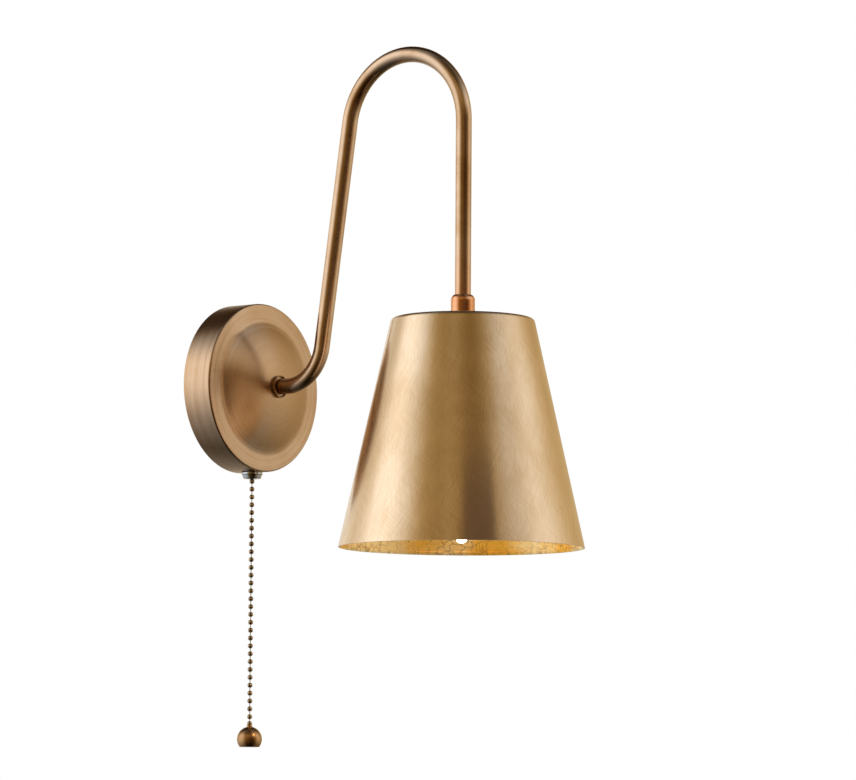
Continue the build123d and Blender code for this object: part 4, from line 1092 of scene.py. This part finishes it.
class SCONCE_OT_threads(bpy.types.Operator):
    """Cut the threads of the stem and the nipple, and dress the zinc-plated pieces."""

    bl_idname = "sconce.threads"
    bl_label = "Threads and fixings"
    bl_options = {"REGISTER", "UNDO"}

    def execute(self, context):
        size, look = sizes(), finishes()
        zinc = smooth_metal("zinc_plate", look.steel, deepened(look.steel, 0.62), 0.32, scale=90.0)
        tree = thread_tree()
        foot = high("lampholder_cap").z
        back, front = -high("arm_nipple").y, -high("arm_locknut").y
        above = Matrix.Translation(upright("shade_stem") + Vector((0, 0, foot)))
        wallward = Matrix.Translation((0, -back, 0)) @ Matrix.Rotation(radians(90), 4, "X")
        threads = (
            ("stem_thread", "shade_stem", low("shade_nut").z - foot, above),
            ("nipple_thread", "arm_nipple", front - back, wallward),
        )
        for name, rod, height, place in threads:
            values = {
                "Radius": high(rod).x - size.thread_depth * 0.3,
                "Height": height,
                "Turns": height / size.thread_pitch,
                "Ridge": size.thread_depth,
                "Steps": size.thread_steps,
                "Material": zinc,
            }
            piece = grown(name, bpy.data.meshes.new("seed"), tree, **values)
            piece.data.transform(place)
            finish(piece, "fixture", "zinc_steel", zinc)
        dress(
            zinc, "arm_nipple", "arm_locknut", "arm_tooth_washer", "block_screws", "clamp_screws",
            "shade_nut", "shade_stem", "shade_washer", "switch_locknut", "switch_neck", "wall_bracket",
            "return_spring",
        )
        brass = smooth_metal("earth_brass", look.plain_brass, look.brass_dark, 0.32)
        dress(brass, "earth_screw", "earth_washer")
        return {"FINISHED"}


class SCONCE_OT_wiring(bpy.types.Operator):
    """Dress the flex and the cores behind the plate."""

    bl_idname = "sconce.wiring"
    bl_label = "Wiring"
    bl_options = {"REGISTER", "UNDO"}

    def execute(self, context):
        look = finishes()
        dress(plastic("sheath_white", look.white, 0.40), "arm_flex")
        dress(plastic("core_brown", look.core_brown, 0.38), "live_lead")
        dress(plastic("core_blue", look.core_blue, 0.38), "neutral_lead")
        dress(plastic("core_black", look.core_black, 0.38), "switched_lead")
        dress(striped_sheath(), "earth_lead")
        return {"FINISHED"}


# ---------------------------------------------------------------- stage


# The studio's screens as metal shows them: brightness at turns round the object from straight in
# front of the wall, for level screens and raised ones, and at heights over the horizon, in degrees.
LEVEL_SCREENS = (
    (-180, 0.85), (-150, 1.25), (-128, 1.25), (-112, 0.95), (-98, 0.50), (-82, 0.20), (-62, 0.19),
    (-36, 0.06), (-18, 0.06), (-3, 0.14), (9, 0.28), (22, 0.62), (36, 0.90), (56, 0.78), (86, 0.58),
    (110, 0.60), (150, 0.95), (180, 0.85),
)
RAISED_SCREENS = (
    (-180, 0.12), (-170, 0.35), (-156, 1.25), (-135, 1.35), (-120, 1.05), (-108, 0.76), (-96, 0.50),
    (-80, 0.47), (-66, 0.54), (-52, 0.42), (-40, 0.33), (-28, 0.40), (-14, 0.62), (2, 0.94), (30, 1.08),
    (50, 0.98), (70, 0.55), (100, 0.14), (150, 0.07), (180, 0.12),
)
SCREENS_UP = (
    (-90, 0.02), (-64, 0.05), (-52, 0.12), (-40, 0.22), (-28, 0.36), (-12, 0.70), (2, 0.96), (14, 1.0),
    (26, 1.0), (34, 0.80), (44, 0.42), (56, 0.20), (90, 0.08),
)
# The raised screens begin at this height in degrees, and take over within so many more.
RAISED_FROM, RAISED_WITHIN = 13, 20
# A dim screen is browner: the shares of its brightness that its green and its blue keep at least.
DIM_GREEN, DIM_BLUE = 0.44, 0.10

# The softboxes: turn to the camera's right in degrees, and width. All have one height and distance.
SOFTBOXES = {"softbox_left": (-62, 1.2), "softbox_right": (72, 1.1)}
SOFTBOX_TALL, SOFTBOX_RISE, SOFTBOX_DISTANCE = 1.9, 1.1, 2.3
LIT_POINT = Vector((0, -0.14, 0.0))

# The dark card out in the room: its middle, the way that it runs, and half its width.
CARD_STAND, CARD_RUN, CARD_HALF = Vector((-0.2385, -0.539, 0.0)), Vector((0.82, -0.574, 0.0)), 0.11
CARD_FOOT, CARD_HEAD = -0.10, 0.13

PHOTO_WIDE, PHOTO_TALL = 856, 780  # the photograph's frame in pixels
FLOOR_HALF = 12.0


class SCONCE_OT_stage(bpy.types.Operator):
    """Set the floor, the studio light, the background and the camera."""

    bl_idname = "sconce.stage"
    bl_label = "Stage and camera"
    bl_options = {"REGISTER", "UNDO"}

    def execute(self, context):
        view = stage_settings()
        azimuth, elevation, roll = view.azimuth, view.elevation, view.roll
        back = Vector((sin(azimuth) * cos(elevation), -cos(azimuth) * cos(elevation), sin(elevation)))
        level_right = Vector((cos(azimuth), sin(azimuth), 0.0))
        level_up = back.cross(level_right)
        right = level_right * cos(roll) + level_up * sin(roll)
        up = level_up * cos(roll) - level_right * sin(roll)
        self.camera(view, back, right, up)
        self.floor(view)
        self.lamps(view, back, level_right)
        self.card(view)
        self.world(view)
        return {"FINISHED"}

    def camera(self, view, back, right, up):
        focal = view.scale * view.distance
        across = (view.target_x - PHOTO_WIDE / 2) / view.scale
        above = (PHOTO_TALL / 2 - view.target_y) / view.scale
        data = bpy.data.cameras.new("photo_camera")
        data.sensor_fit = "HORIZONTAL"
        data.lens = focal / PHOTO_WIDE * data.sensor_width
        data.clip_end = 100.0
        camera = linked("photo_camera", data)
        place = Vector((0, -view.target_depth, 0)) - right * across - up * above + back * view.distance
        turn_to = Matrix((right, up, back)).transposed().to_4x4()
        camera.matrix_world = Matrix.Translation(place) @ turn_to
        bpy.context.scene.camera = camera
        bpy.context.scene.view_settings.view_transform = "Standard"

    def floor(self, view):
        """Paper that shines a little to the camera, and is see-through from beneath."""
        level = CAD_BOX[0][2] - view.floor_drop
        ways = ((-1, -1), (1, -1), (1, 1), (-1, 1))
        floor = sheet_of("floor", [(FLOOR_HALF * x, FLOOR_HALF * y, level) for x, y in ways])
        made = Finish("floor_paper", Roughness=0.9)
        fibres = made.noise(made.place(), scale=240.0, detail=2.0)
        made.colour(made.blend(fibres, view.paper, view.paper_pale))
        light_path = made.node("ShaderNodeLightPath").outputs
        seen = made.calc("MULTIPLY", light_path["Is Camera Ray"], view.floor_shine)
        made.overlay(seen, "ShaderNodeEmission")
        made.overlay(made.node("ShaderNodeNewGeometry").outputs["Backfacing"], "ShaderNodeBsdfTransparent")
        floor.data.materials.append(made.material)
        floor.visible_glossy = False

    def card(self, view):
        """A dark card out in the room, which only the shine of the shade's lower half shows."""
        side = CARD_RUN * CARD_HALF
        corners = [CARD_STAND + side, CARD_STAND - side, CARD_STAND - side, CARD_STAND + side]
        for corner, height in zip(corners, (CARD_FOOT, CARD_FOOT, CARD_HEAD, CARD_HEAD)):
            corner.z = height
        card = sheet_of("room_card", corners)
        made = Finish("card_cloth", Roughness=0.9)
        made.colour(made.blend(made.noise(made.place(), scale=90.0), view.card, view.card_pale))
        card.data.materials.append(made.material)
        card.visible_camera = card.visible_diffuse = card.visible_shadow = card.visible_transmission = False

    def lamps(self, view, back, right):
        level_back = Vector((back.x, back.y, 0)).normalized()
        for (name, (turned_by, wide)), watts in zip(SOFTBOXES.items(), (view.key, view.fill)):
            data = bpy.data.lights.new(name, "AREA")
            data.shape = "RECTANGLE"
            data.size, data.size_y = wide, SOFTBOX_TALL
            data.energy = watts
            lamp = linked(name, data)
            angle = radians(turned_by)
            place = LIT_POINT + (level_back * cos(angle) + right * sin(angle)) * SOFTBOX_DISTANCE
            place.z += SOFTBOX_RISE
            turn_to = (place - LIT_POINT).to_track_quat("Z", "Y").to_matrix().to_4x4()
            lamp.matrix_world = Matrix.Translation(place) @ turn_to
            lamp.visible_camera = False
            lamp.visible_glossy = False

    def world(self, view):
        """White to the camera, even to dull surfaces, and a studio of screens to shiny ones."""
        world = bpy.data.worlds.new("studio")
        bpy.context.scene.world = world
        world.use_nodes = True
        made = Nodes(world.node_tree)
        made.tree.nodes.clear()

        def ramp(value, stops):
            fade = made.node("ShaderNodeValToRGB", {"Fac": value})
            elements = fade.color_ramp.elements
            for place, tone in stops[1:-1]:
                elements.new(place)
            for element, (place, tone) in zip(elements, stops):
                element.position = place
                element.color = (*tone, 1.0)
            return fade.outputs["Color"]

        def ring(screens):
            stops = []
            for turned_by, light in screens:
                lit = min(light, 1.0)
                green = light * (DIM_GREEN + (1 - DIM_GREEN) * lit)
                blue = light * (DIM_BLUE + (1 - DIM_BLUE) * lit ** 2)
                stops.append(((turned_by + 180) / 360, (light, green, blue)))
            return ramp(around, stops)

        def glow(tone, strength):
            return made.node("ShaderNodeBackground", {"Color": tone, "Strength": strength}).outputs[0]

        x, y, z = made.split(made.node("ShaderNodeTexCoord").outputs["Generated"])
        angle = made.calc("ARCTAN2", x, made.calc("MULTIPLY", y, -1.0))
        around = made.calc("ADD", made.calc("DIVIDE", angle, 2 * pi), 0.5)
        lifted = made.calc("ADD", made.calc("DIVIDE", made.calc("ARCSINE", z), pi), 0.5)
        rise = ramp(lifted, [((height + 90) / 180, (light,) * 3) for height, light in SCREENS_UP])
        from_horizon = -(90 + RAISED_FROM) / RAISED_WITHIN
        raised = made.calc("MULTIPLY_ADD", lifted, 180 / RAISED_WITHIN, from_horizon, clamp=True)
        screens = made.blend(raised, ring(LEVEL_SCREENS), ring(RAISED_SCREENS))
        screens = made.blend(1.0, screens, rise, "MULTIPLY")
        path = made.node("ShaderNodeLightPath").outputs
        mirrored = made.calc("MAXIMUM", path["Is Glossy Ray"], path["Is Transmission Ray"])
        shown = made.layer(mirrored, glow((1, 1, 1), view.room), glow(screens, view.screens))
        shown = made.layer(path["Is Camera Ray"], shown, glow((1, 1, 1), 1.0))
        made.node("ShaderNodeOutputWorld", {"Surface": shown})


PIECE_OPERATORS = (
    SCONCE_OT_backplate,
    SCONCE_OT_arm,
    SCONCE_OT_coupler,
    SCONCE_OT_shade,
    SCONCE_OT_bulb,
    SCONCE_OT_ferrule,
    SCONCE_OT_chain,
    SCONCE_OT_threads,
    SCONCE_OT_wiring,
    SCONCE_OT_stage,
)


class SCONCE_PT_panel(bpy.types.Panel):
    """Lists the sconce's pieces, finishes and stage."""

    bl_idname = "SCONCE_PT_panel"
    bl_label = "Sconce"
    bl_space_type = "VIEW_3D"
    bl_region_type = "UI"
    bl_category = "Sconce"

    def draw(self, context):
        layout = self.layout
        for piece in PIECE_OPERATORS:
            layout.operator(piece.bl_idname, text=piece.bl_label)
        for group in (sizes(), finishes(), stage_settings()):
            box = layout.box()
            for name in group.__annotations__:
                box.prop(group, name)


CLASSES = (SconceSizes, SconceFinishes, SconceStage, *PIECE_OPERATORS, SCONCE_PT_panel)


def register():
    for cls in CLASSES:
        bpy.utils.register_class(cls)
    bpy.types.Scene.sconce_sizes = bpy.props.PointerProperty(type=SconceSizes)
    bpy.types.Scene.sconce_finishes = bpy.props.PointerProperty(type=SconceFinishes)
    bpy.types.Scene.sconce_stage = bpy.props.PointerProperty(type=SconceStage)


def unregister():
    del bpy.types.Scene.sconce_stage
    del bpy.types.Scene.sconce_finishes
    del bpy.types.Scene.sconce_sizes
    for cls in reversed(CLASSES):
        bpy.utils.unregister_class(cls)


def main():
    register()
    for piece in PIECE_OPERATORS:
        category, call = piece.bl_idname.split(".")
        getattr(getattr(bpy.ops, category), call)()


if __name__ == "__main__":
    main()
